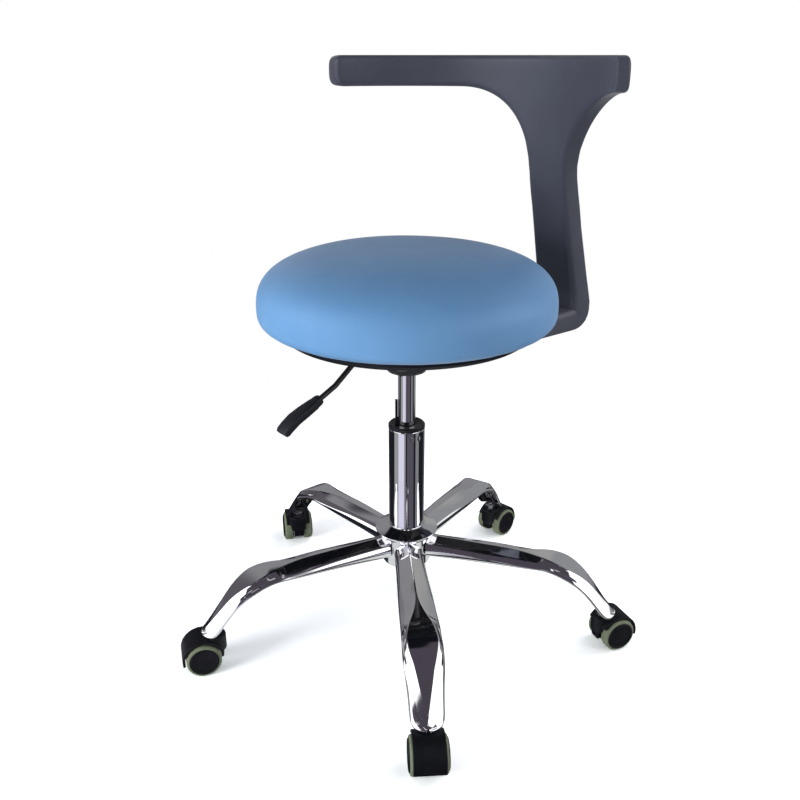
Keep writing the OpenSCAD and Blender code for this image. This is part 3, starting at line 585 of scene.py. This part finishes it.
TOP_SQUARE, LOW_SQUARE = 2.85, 3.3  # exponents of the superellipses above and below the widest line
WIDE_DROP, CUSHION_H = 74.0, 98.5  # from the top of the seat to the widest line and to the underside
UNDER_FLAT_R = 146.0
TUCK_R = 158.0
CLOTH_FRAMES = 20


def cushion_profile(inset):
    """Half outline of the cushion as (radius, height), from the middle of the top to the tuck below."""
    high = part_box("seat_cover")[1]
    seat_r, seat_top = high.x / MM, high.z / MM
    wide_z = seat_top - WIDE_DROP
    seat_low = seat_top - CUSHION_H
    top = []
    for i in range(0, 41):
        t = math.radians(90 - 90 * i / 40)
        top.append(((seat_r - inset) * math.cos(t) ** (2 / TOP_SQUARE),
                    wide_z + (seat_top - inset - wide_z) * math.sin(t) ** (2 / TOP_SQUARE)))
    under = []
    for i in range(1, 23):
        t = math.radians(90 * i / 22)
        r = UNDER_FLAT_R + (seat_r - inset - UNDER_FLAT_R) * math.cos(t) ** (2 / LOW_SQUARE)
        if r > TUCK_R + 3:
            under.append((r, wide_z - (wide_z - seat_low - 0.4) * math.sin(t) ** (2 / LOW_SQUARE)))
    under += [(TUCK_R + 1.2, seat_low + 0.2), (TUCK_R + 0.6, seat_low - 4), (TUCK_R - 1, seat_low - 4),
              (TUCK_R - 1.2, seat_low + 2.2)]
    return np.array(top + under)


def resample(points, step):
    """A polyline with its points spread evenly, about a step apart."""
    gaps = np.linalg.norm(np.diff(points, axis=0), axis=1)
    along = np.concatenate([[0], np.cumsum(gaps)])
    count = max(int(along[-1] / step), 2)
    where = np.linspace(0, along[-1], count)
    return np.stack([np.interp(where, along, points[:, k]) for k in range(2)], 1)


def make_cushion():
    """Crowned round cushion, blown up a little as cloth."""
    profile = resample(cushion_profile(0.8), 5.0)
    profile[0, 0] = 0.0
    steps = 160
    rings = profile[1:]
    n = len(rings)
    verts = [(0, 0, profile[0, 1] * MM)]
    for k in range(steps):
        a = 2 * math.pi * k / steps
        verts += [(r * math.cos(a) * MM, r * math.sin(a) * MM, z * MM) for r, z in rings]
    faces = []
    for k in range(steps):
        a, b = 1 + k * n, 1 + ((k + 1) % steps) * n
        faces.append((0, a, b))
        faces += [(a + i, a + i + 1, b + i + 1, b + i) for i in range(n - 1)]
    centre = len(verts)
    verts.append((0, 0, rings[-1, 1] * MM))
    faces += [(1 + k * n + n - 1, centre, 1 + ((k + 1) % steps) * n + n - 1) for k in range(steps)]
    mesh = mesh_from("cushion", verts, faces, 180)
    cushion = new_object("seat_cushion", mesh, LEATHER)
    puff(cushion, cap=4.0)
    pucker(cushion)
    mod = cushion.modifiers.new("fine", "SUBSURF")
    mod.levels = mod.render_levels = 1
    apply_modifiers(cushion)
    for face in cushion.data.polygons:
        face.use_smooth = True
    cushion.visible_glossy = False
    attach(cushion, "lift")
    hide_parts("seat_cover", "seat_foam")


def puff(obj, cap):
    """Cloth under pressure, held at the tuck under the seat, each point moved no more than cap mm."""
    start = np.array([v.co for v in obj.data.vertices])
    low = start[:, 2].min()
    group = obj.vertex_groups.new(name="held")
    for i, co in enumerate(start):
        if co[2] < low + 0.0068:
            group.add([i], 1.0, "REPLACE")
    mod = obj.modifiers.new("cloth", "CLOTH")
    cloth = mod.settings
    cloth.quality = 6
    cloth.mass = 0.4
    cloth.tension_stiffness = 40
    cloth.compression_stiffness = 40
    cloth.shear_stiffness = 20
    cloth.bending_stiffness = 2.0
    cloth.use_pressure = True
    cloth.uniform_pressure_force = 4.0
    cloth.vertex_group_mass = "held"
    cloth.effector_weights.gravity = 0.0
    mod.collision_settings.use_collision = False
    scene.frame_start, scene.frame_end = 1, CLOTH_FRAMES
    mod.point_cache.frame_start, mod.point_cache.frame_end = 1, CLOTH_FRAMES
    for f in range(1, CLOTH_FRAMES + 1):
        scene.frame_set(f)
    apply_modifiers(obj)
    moved = np.array([v.co for v in obj.data.vertices])
    step = moved - start
    size = np.linalg.norm(step, axis=1)
    scale = np.minimum(1, cap * MM / np.maximum(size, 1e-9))
    final = start + step * scale[:, None]
    obj.data.vertices.foreach_set("co", final.astype(np.float32).ravel())
    obj.vertex_groups.clear()
    scene.frame_set(1)


def pucker(obj):
    """Shallow creases where the cover is pulled under the board, and a faint unevenness on top."""
    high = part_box("seat_cover")[1]
    tuck = high.z - CUSHION_H * MM
    crease, dimple = 0.0011, 0.0005
    for v in obj.data.vertices:
        r = math.hypot(v.co.x, v.co.y)
        a = math.atan2(v.co.y, v.co.x)
        near = max(0.0, 1 - abs(v.co.z - tuck) / 0.020)
        if r > 0.12 and near > 0:
            ripple = noise.noise(Vector((math.cos(a) * 9, math.sin(a) * 9, 1.7)))
            ripple += 0.5 * noise.noise(Vector((math.cos(a) * 23, math.sin(a) * 23, 5.1)))
            v.co.x += math.cos(a) * ripple * near * near * crease
            v.co.y += math.sin(a) * ripple * near * near * crease
        if v.co.z > high.z - 0.03:
            v.co.z += dimple * noise.noise(v.co * 14)


def make_pan():
    """Shallow dish under the seat."""
    low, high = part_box("seat_pan")
    r, z0, z1 = high.x / MM, low.z / MM, high.z / MM
    outline = rounded([
        (78, z0), (150, z0), (r - 6, z0 + 3), (r - 0.6, z0 + 8.5), (r, z1), (r - 2.8, z1), (r - 3.6, z0 + 9.5),
        (r - 8, z0 + 6), (150, z0 + 2.8), (78, z0 + 2.8),
    ], [0.8, 12, 6, 3, 1.0, 1.0, 3, 6, 12, 0.8], 4, closed=True)
    pan = new_object("under_seat_pan", revolve("pan", outline, 160, 40), PAN)
    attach(pan, "lift")
    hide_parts("seat_pan")


# -------------------------------------------------------------------- arm rest

UPRIGHT, LONG_END, SHORT_END = 38.0, 77.5, 41.0  # the neck's place round the column, and the ends' from it
ARM_R, ARM_T, ARM_H = 233.0, 30.0, 42.0  # inner radius, thickness and height of the bar
FOOT_H, FOOT_IN = 33.0, 190.0
BACK_EDGE = 0.45  # rounding of the pad's outer face as a share of the inner face's
MID_R = ARM_R + ARM_T / 2
NECK_HALF, FOOT_HALF, FLARE_HALF, LEAN = 35.0, 38.5, 146.0, 12.0
NECK_BACK = 17.0  # how far the neck's inner face lies outside the bar's at the neck's lower end
TURN_Z, NECK_Z, NECK_END_Z, FLARE_Z = 465.0, 595.0, 675.0, 635.0


def inner_r(z):
    """Radius of the upright's inner face at height z."""
    if z > NECK_END_Z:
        return ARM_R
    if z > NECK_Z:
        return ARM_R + NECK_BACK * ((NECK_END_Z - z) / (NECK_END_Z - NECK_Z)) ** 1.6
    return ARM_R + NECK_BACK + (NECK_Z - z) * 0.277


def thick(z):
    """Thickness of the pad at height z."""
    return ARM_T if z > FLARE_Z else ARM_T + 5 * (FLARE_Z - z) / 180


def arm_path(mid, top):
    """Middle line of the pad in the (radius, height) plane, from the foot's inner end to the top."""
    corner_r = inner_r(mid) + thick(mid) / 2 - 1
    knots = [(FOOT_IN, mid), (corner_r, mid)]
    for z in (470, 500, 530, 560, 590, 610, 630, 650, 675, 700, 740, top):
        knots.append((inner_r(z) + thick(z) / 2, z))
    radii = [0, 24] + [30] * 11 + [0]
    return resample(rounded(knots, radii, 8), 1.5)


def smooth_closed(points, step, rounds):
    """Closed polyline resampled to an even step, then smoothed."""
    loop = np.vstack([points, points[:1]])
    keep = np.concatenate([[True], np.linalg.norm(np.diff(loop, axis=0), axis=1) > 1e-6])
    loop = resample(loop[keep], step)[:-1]
    for _ in range(rounds):
        loop = (np.roll(loop, 1, 0) + 2 * loop + np.roll(loop, -1, 0)) / 4
    return loop


def arm_outline(z_of, top):
    """Outline in (arc length round the arm, length along the middle line), with round corners."""
    arm_low = top - ARM_H

    def lean(z):
        return LEAN * min(max((z - TURN_Z - 10) / 200, 0), 1)

    def side(sign):
        pts = [(FOOT_HALF, None), (FOOT_HALF, TURN_Z)]
        for z in np.arange(TURN_Z + 15, FLARE_Z - 5, 15):
            pts.append((FOOT_HALF + (NECK_HALF - FOOT_HALF) * min((z - TURN_Z) / (NECK_Z - TURN_Z), 1), z))
        for i in range(0, 24):
            t = math.radians(90 * i / 23)
            flare = FLARE_HALF - (FLARE_HALF - NECK_HALF) * math.cos(t)
            pts.append((flare, FLARE_Z + (arm_low - FLARE_Z) * math.sin(t)))
        out = []
        for y, z in pts:
            lateral = sign * y - (0 if z is None else lean(z))
            lateral = max(-MID_R * 0.99, min(MID_R * 0.99, lateral))
            out.append((MID_R * math.asin(lateral / MID_R), 0.0 if z is None else z_of(z)))
        return out

    right = MID_R * math.radians(LONG_END)
    left = -MID_R * math.radians(SHORT_END)
    low_l, top_l = z_of(arm_low), z_of(top)
    plus = [p for p in side(1) if p[0] < right - 30]
    minus = [p for p in side(-1) if p[0] > left + 24]
    outline = plus + [(right, low_l), (right, top_l), (left, top_l), (left, low_l)] + minus[::-1]
    radii = [0.0] * len(outline)
    for k, radius in enumerate((12, 12, 19, 19)):
        radii[len(plus) + k] = radius
    radii[0] = radii[-1] = 11
    return smooth_closed(rounded(outline, radii, 8, closed=True), 4.0, 2)


def inside(points, loop):
    """Which points lie within a closed loop."""
    x, y = points[:, 0:1], points[:, 1:2]
    ax, ay = loop[:, 0], loop[:, 1]
    bx, by = np.roll(ax, -1), np.roll(ay, -1)
    cross = ((ay > y) != (by > y)) & (x < (bx - ax) * (y - ay) / np.where(by == ay, 1e-12, by - ay) + ax)
    return cross.sum(axis=1) % 2 == 1


def slab(outline, edge):
    """Closed slab over an outline: points (s, t, l) with t from -1 to 1 through the thickness, and faces."""
    area = np.sum(outline[:, 0] * np.roll(outline[:, 1], -1) - np.roll(outline[:, 0], -1) * outline[:, 1])
    if area < 0:
        outline = outline[::-1]
    along = np.roll(outline, -1, 0) - np.roll(outline, 1, 0)
    along /= np.linalg.norm(along, axis=1)[:, None]
    inwards = np.stack([-along[:, 1], along[:, 0]], 1)
    n = len(outline)
    depth = edge / (ARM_T / 2)
    turns = [math.radians(15 * k) for k in range(7)]
    levels = [(edge * (1 - math.cos(a)), 1 - depth + depth * math.sin(a)) for a in turns]
    back = [(i * BACK_EDGE, 1 - (1 - t) * BACK_EDGE) for i, t in levels]
    levels = [(i, -t) for i, t in levels[::-1]] + [(0, 0.0)] + back
    points, faces = [], []
    for inset, t in levels:
        ring = outline + inwards * inset
        points += [(x, t, y) for x, y in ring]
    for k in range(len(levels) - 1):
        faces += [(k * n + i, k * n + (i + 1) % n, (k + 1) * n + (i + 1) % n, (k + 1) * n + i)
                  for i in range(n)]
    for t, inset in ((-1.0, edge), (1.0, edge * BACK_EDGE)):
        rim = outline + inwards * inset
        cap_points, cap_faces = cap_fill(rim, 8.0)
        faces += [tuple(len(points) + i for i in face) for face in cap_faces]
        points += [(x, t, y) for x, y in cap_points]
    return np.array(points), faces


def cap_fill(rim, step):
    """Even triangles over the inside of a closed loop, keeping the loop's own points."""
    n = len(rim)
    low, high = rim.min(0), rim.max(0)
    rows = np.arange(low[1], high[1], step * 0.866)
    grid = np.array([(x + (step / 2 if j % 2 else 0), y) for j, y in enumerate(rows)
                     for x in np.arange(low[0], high[0], step)])
    gap = np.sqrt(((grid[:, None, :] - rim[None, :, :]) ** 2).sum(2)).min(1)
    grid = grid[inside(grid, rim) & (gap > 4.0)]
    flat = [Vector(p) for p in np.vstack([rim, grid])]
    got = delaunay_2d_cdt(flat, [], [list(range(n))], 1, 1e-5)
    return [(v.x, v.y) for v in got[0]], got[2]


def make_arm():
    """The pad: a slab bent along the middle line and round the column."""
    low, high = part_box("arm_pad")
    top, foot_low = high.z / MM, low.z / MM
    foot_top = foot_low + FOOT_H
    foot_mid = (foot_low + foot_top) / 2
    line = arm_path(foot_mid, top)
    steps = np.linalg.norm(np.diff(line, axis=0), axis=1)
    along = np.concatenate([[0], np.cumsum(steps)])
    upper = line[:, 1] > foot_top + 8

    def z_of(z):
        return float(np.interp(z, line[upper, 1], along[upper]))

    points, faces = slab(arm_outline(z_of, top), 9.0)
    s, t, l = points[:, 0], points[:, 1] / 2, points[:, 2]
    # the inner face slopes back towards the short end, and rounds off at both ends
    slope = np.clip((-s - 52) / 115, 0, 1)
    t = np.where(t < 0, t * (1 - 0.95 * slope), t)
    mr = np.interp(l, along, line[:, 0])
    mz = np.interp(l, along, line[:, 1])
    tangent = np.gradient(line, along, axis=0)
    tangent /= np.linalg.norm(tangent, axis=1)[:, None]
    tr, tz = np.interp(l, along, tangent[:, 0]), np.interp(l, along, tangent[:, 1])
    depth = np.array([thick(z) for z in mz])
    depth = np.where(mz < foot_top, foot_top - foot_low, depth)
    # a fillet fills the inner corner between the foot and the neck
    turn = along[int(np.argmax(np.abs(line[:, 1] - foot_mid) > 8))]
    fillet = 0.45 * np.exp(-((l - turn) / 22) ** 2)
    depth = np.where(t < 0, depth * (1 + fillet), depth)
    r = mr + tz * t * depth
    z = mz - tr * t * depth
    lateral = MID_R * np.sin(s / MID_R)
    straight = np.arcsin(np.clip(lateral / r, -0.999, 0.999))
    share = np.clip((mz - 560) / 100, 0, 1)
    angle = math.radians(UPRIGHT) + (1 - share) * straight + share * s / MID_R
    final = np.stack([r * np.cos(angle), r * np.sin(angle), z], 1) * MM
    arm = new_object("arm_rest_pad", mesh_from("arm", final, faces, 180), ARM_SKIN)
    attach(arm, "arm")
    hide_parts("arm_pad")


# ----------------------------------------------------------------------- lever

ROD_R = 3.5
ROD_START = (1.0, 446.0)
ROD_RUNS = ((82, 9), (47, 38), (36, 26))  # length of each straight and how steeply it falls
HANDLE_BACK = 10.0  # how far the handle's collar reaches back over the rod


def make_lever():
    """Bent rod with its boss round the pivot and a flat handle."""
    pivot = Vector(JOINTS["lever_pull"]["pos_m"])
    pivot_r = Vector((pivot.x, pivot.y, 0)).length
    turn = math.atan2(pivot.y, pivot.x)
    corners = [ROD_START]
    for run, fall in ROD_RUNS:
        x, z = corners[-1]
        corners.append((x + run * math.cos(math.radians(fall)), z - run * math.sin(math.radians(fall))))
    line = resample(rounded(corners, [0, 26, 26, 0], 10), 1.5)
    rings = []
    for i, (x, z) in enumerate(line):
        d = line[min(i + 1, len(line) - 1)] - line[max(i - 1, 0)]
        d = d / np.linalg.norm(d)
        normal = np.array([-d[1], d[0]])
        rings.append([(x + ROD_R * math.cos(a) * normal[0], ROD_R * math.sin(a),
                       z + ROD_R * math.cos(a) * normal[1]) for a in np.arange(20) * math.pi / 10])
    rod = new_object("lever_bent_rod", loft("rod", rings, sharp_deg=50), BLACK_STEEL)
    rod.rotation_euler.z = turn
    boss = new_object("lever_boss", revolve("boss", rounded(
        [(2.56, -4.9), (5.4, -4.9), (5.4, 4.9), (2.56, 4.9)], 0.5, 3, closed=True), 48), BLACK_STEEL)
    boss.matrix_world = (Matrix.Rotation(turn, 4, "Z") @ Matrix.Translation((pivot_r, 0, pivot.z))
                         @ Matrix.Rotation(math.radians(90), 4, "X"))
    handle = new_object("lever_handle", paddle_mesh(corners[3], ROD_RUNS[-1][1]), PADDLE)
    handle.rotation_euler.z = turn
    for obj in (rod, boss, handle):
        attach(obj, "lever")
    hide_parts("lever_rod")
    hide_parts("lever_paddle")


def paddle_mesh(root, fall):
    """Flat handle with a narrow collar on the rod, widening and bending down to a square end."""
    a = math.radians(fall)
    start = np.array(root) - HANDLE_BACK * np.array([math.cos(a), -math.sin(a)])
    # distance along the handle, fall there, width, height
    places = [(0, fall, 9.5, 9.5), (3, fall, 12.0, 11.5), (9, fall, 13.0, 12.0), (12, 25, 15.5, 11.5),
              (28, 22, 19.5, 11.0), (44, 24, 21.0, 10.5), (56, 34, 21.4, 9.8), (64, 40, 21.4, 9.0),
              (67.5, 42, 19.0, 6.5)]
    rings = []
    pos = start
    last = 0.0
    for along, down, width, height in places:
        d = np.array([math.cos(math.radians(down)), -math.sin(math.radians(down))])
        pos = pos + (along - last) * d
        last = along
        normal = np.array([-d[1], d[0]])
        corner = min(width, height) * 0.28
        ring = rounded([(-width / 2, -height / 2), (width / 2, -height / 2), (width / 2, height / 2),
                        (-width / 2, height / 2)], corner, 4, closed=True)
        rings.append([(pos[0] + h * normal[0], w, pos[1] + h * normal[1]) for w, h in ring])
    return loft("paddle", rings, sharp_deg=50)


# -------------------------------------------------------------- CAD nodes kept

def dress_kept_nodes():
    """Materials for the CAD nodes that stay as they are; the board is kept out of the chrome."""
    kept = {
        "guide_bushing": BUSH, "thrust_bearing": STEEL, "piston_rod": CHROME_TUBE, "piston_head": ALLOY,
        "rod_clip": STEEL, "gas_cylinder": CHROME_TUBE, "inner_cylinder": ALLOY, "rod_guide": BUSH,
        "seat_mount": BLACK_STEEL, "seat_screws": STEEL, "seat_board": PLY, "lever_pin": STEEL,
        "arm_clip": STEEL, "arm_bush": WHITE_PLASTIC, "arm_bracket": BLACK_STEEL, "valve_pin": STEEL,
        "caster_stems": STEEL,
    }
    kept.update({"axle_" + p: STEEL for p in PLACES})
    for node, material in kept.items():
        dress(node, material)
    frame["nodes"]["seat_board"].visible_glossy = False


# ------------------------------------------------------------ stage and camera

LENS = 1.0808375  # focal length as a share of the frame's width
CAMERA_AT = (-0.0093, -1.0995, 0.7929)
CAMERA_DOWN = 21.75


def window(n, value, low, high, soft):
    """1 between low and high, falling to 0 over soft on each side."""
    up = n.ramp(value, low - soft, low + soft)
    down = n.ramp(value, high - soft, high + soft, 1.0, 0.0)
    return n.math("MULTIPLY", up, down)


def azimuth(n, x, y):
    """Angle from the camera's side, positive to the right, in degrees."""
    return n.math("MULTIPLY", n.math("ARCTAN2", x, n.math("MULTIPLY", y, -1.0)), 180 / math.pi)


def make_world():
    """White to the camera, a soft gradient as light, and a studio for polished metal to mirror."""
    world = bpy.data.worlds.new("studio")
    scene.world = world
    world.use_nodes = True
    n = Nodes(world.node_tree)
    direction = n.add("ShaderNodeTexCoord").outputs["Generated"]
    xyz = n.add("ShaderNodeSeparateXYZ", {0: direction}).outputs
    az = azimuth(n, xyz[0], xyz[1])
    elev = n.math("MULTIPLY", n.math("ARCSINE", xyz[2]), 180 / math.pi)
    black = rgb(0.006, 0.006, 0.010)
    # mirrored: a grey wall behind, a black ceiling, a purple-grey room in front and white boxes at the sides
    wall = n.mix(n.ramp(az, 150, 158), rgb(0.30, 0.31, 0.32), rgb(0.38, 0.38, 0.37))
    wall = n.mix(n.ramp(az, 165, 172), wall, rgb(0.27, 0.27, 0.28))
    left_wall = n.mix(n.ramp(az, -146, -128), rgb(0.27, 0.27, 0.28), rgb(0.12, 0.11, 0.125))
    wall = n.mix(n.ramp(az, -1, 1), left_wall, wall)
    aside = n.ramp(n.math("ABSOLUTE", az), 135, 160, 1.0, 0.0)
    ceiling = n.ramp(n.math("SUBTRACT", elev, n.math("MULTIPLY", aside, 12.0)), 35, 39)
    wall = n.mix(ceiling, wall, black)
    room = n.mix(n.ramp(elev, 81, 84), rgb(0.075, 0.065, 0.085), black)
    beam = n.math("MULTIPLY", window(n, elev, 66, 69, 1.0), n.ramp(n.math("ABSOLUTE", az), 40, 50))
    room = n.mix(beam, room, rgb(0.5, 0.48, 0.5))
    colour = n.mix(n.ramp(n.math("ABSOLUTE", az), 96, 112), room, wall)
    boxes = ((-98, -37, 2, 46, 2.0), (37, 108, 2, 44, 1.8), (-14, -6, 12, 24, 1.2))
    for low, high, base, top, strength in boxes:
        box = n.math("MULTIPLY", window(n, az, low, high, 2.0), window(n, elev, base, top, 2.0))
        colour = n.mix(box, colour, rgb(strength, strength, strength * 1.02))
    path = n.add("ShaderNodeLightPath").outputs
    soft = n.mix(n.ramp(xyz[2], -0.1, 0.95), rgb(0.76, 0.78, 0.82), rgb(0.19, 0.20, 0.22))
    seen = n.mix(path["Is Glossy Ray"], soft, colour)
    seen = n.mix(path["Is Camera Ray"], seen, rgb(1, 1, 1))
    background = n.add("ShaderNodeBackground", {"Color": seen, "Strength": 1.0})
    n.add("ShaderNodeOutputWorld", {"Surface": background.outputs[0]})


def make_floor():
    """Pale floor that glows with painted reflections for polished metal: light and dark bands in place of the
    plain white.
    """
    mesh = mesh_from("floor", [(-9, -5, 0), (9, -5, 0), (9, 13, 0), (-9, 13, 0)], [(0, 1, 2, 3)])
    floor = new_object("studio_floor", mesh)
    material = bpy.data.materials.new("pale_floor")
    material.use_nodes = True
    n = Nodes(material.node_tree)
    where = n.add("ShaderNodeNewGeometry").outputs["Position"]
    xyz = n.add("ShaderNodeSeparateXYZ", {0: where}).outputs
    az = azimuth(n, xyz[0], xyz[1])
    reach = n.add("ShaderNodeVectorMath", {0: where}, operation="LENGTH").outputs["Value"]
    # painted reflection: glowing bands round the stool, each from one azimuth to another
    bands = rgb(0.014, 0.014, 0.020)
    for low, high, colour in (
        (-84, -54, rgb(0.34, 0.36, 0.35)), (-54, -15, rgb(0.78, 0.76, 0.92)),
        (-15, -7, rgb(0.36, 0.31, 0.36)), (2, 44, rgb(0.10, 0.09, 0.115)),
        (58, 82, rgb(0.24, 0.25, 0.25)), (130, 170, rgb(0.11, 0.11, 0.11)),
    ):
        bands = n.mix(window(n, az, low, high, 3.0), bands, colour)
    # painted reflection: two bright lines at the sides, which end some way out
    painted_lines = n.math("ADD", window(n, az, -87, -80, 1.5), window(n, az, 82, 90, 1.5), clamp=True)
    painted_lines = n.math("MULTIPLY", painted_lines, n.ramp(reach, 0.36, 0.44, 1.0, 0.0))
    bands = n.mix(painted_lines, bands, rgb(1.0, 1.0, 1.0))
    # painted reflection under the stool: white with gaps
    near = rgb(0.035, 0.035, 0.045)
    for low, high in ((-95, -9), (17, 72), (104, 150)):
        near = n.mix(window(n, az, low, high, 3.0), near, rgb(0.76, 0.79, 0.77))
    mirrored = n.mix(n.ramp(reach, 0.28, 0.31), near, bands)
    # painted reflection of a grey far wall, far out behind the stool
    painted_far_wall = n.mix(n.ramp(az, -30, 30), rgb(0.16, 0.15, 0.17), rgb(0.27, 0.27, 0.28))
    distant = n.math("MULTIPLY", n.ramp(reach, 0.75, 0.95), n.ramp(n.math("ABSOLUTE", az), 96, 112))
    mirrored = n.mix(distant, mirrored, painted_far_wall)
    path = n.add("ShaderNodeLightPath").outputs
    matt = n.mix(path["Is Camera Ray"], rgb(0.72, 0.72, 0.72), rgb(2.0, 2.0, 2.0))
    matt = n.add("ShaderNodeBsdfDiffuse", {"Color": matt})
    # the painted reflections glow, and only glossy rays see them
    painted_glow = n.add("ShaderNodeEmission", {"Color": mirrored})
    # far from the stool the floor runs out into plain white, so no horizon shows
    plain = n.add("ShaderNodeEmission", {"Color": rgb(1, 1, 1)})
    away = n.math("MULTIPLY", path["Is Camera Ray"], n.ramp(reach, 0.5, 0.85))
    matt = n.add("ShaderNodeMixShader", {0: away, 1: matt.outputs[0], 2: plain.outputs[0]})
    mixed = n.add("ShaderNodeMixShader", {0: path["Is Glossy Ray"], 1: matt.outputs[0], 2: painted_glow.outputs[0]})
    n.add("ShaderNodeOutputMaterial", {"Surface": mixed.outputs[0]})
    floor.data.materials.append(material)


def area_light(name, location, target, size, power, colour=(1, 1, 1)):
    """Rectangular light aimed at a target, not seen by the camera or in reflections."""
    data = bpy.data.lights.new(name, "AREA")
    data.shape = "RECTANGLE"
    data.size, data.size_y = size
    data.energy = power
    data.color = colour
    obj = bpy.data.objects.new(name, data)
    scene.collection.objects.link(obj)
    obj.location = location
    obj.rotation_euler = (Vector(target) - Vector(location)).to_track_quat("-Z", "Y").to_euler()
    obj.visible_glossy = False
    obj.visible_camera = False


def make_lights():
    area_light("overhead", (1.1, 0.5, 2.2), (0, 0, 0.2), (1.3, 1.3), 11)
    area_light("key_left", (-1.9, -1.2, 0.5), (0, 0, 0.42), (0.9, 0.9), 48, (0.96, 0.99, 1.0))
    area_light("fill_right", (1.9, -1.1, 1.0), (0, 0, 0.6), (0.8, 1.0), 9)
    area_light("edge_right", (1.5, 0.25, 0.45), (0.2, 0.1, 0.6), (0.5, 0.7), 5)


def make_camera():
    """Camera in front, tilted down at the seat."""
    data = bpy.data.cameras.new("view")
    data.sensor_width = 36.0
    data.lens = LENS * data.sensor_width
    camera = bpy.data.objects.new("view", data)
    scene.collection.objects.link(camera)
    camera.location = CAMERA_AT
    camera.rotation_euler = (math.radians(90 - CAMERA_DOWN), 0, 0)
    data.clip_start = 0.05
    scene.camera = camera


make_legs()
make_hub()
make_column()
make_casters()
make_cushion()
make_pan()
make_arm()
make_lever()
dress_kept_nodes()
make_world()
make_floor()
make_lights()
make_camera()
scene.view_settings.view_transform = "Standard"
scene.view_settings.look = "None"
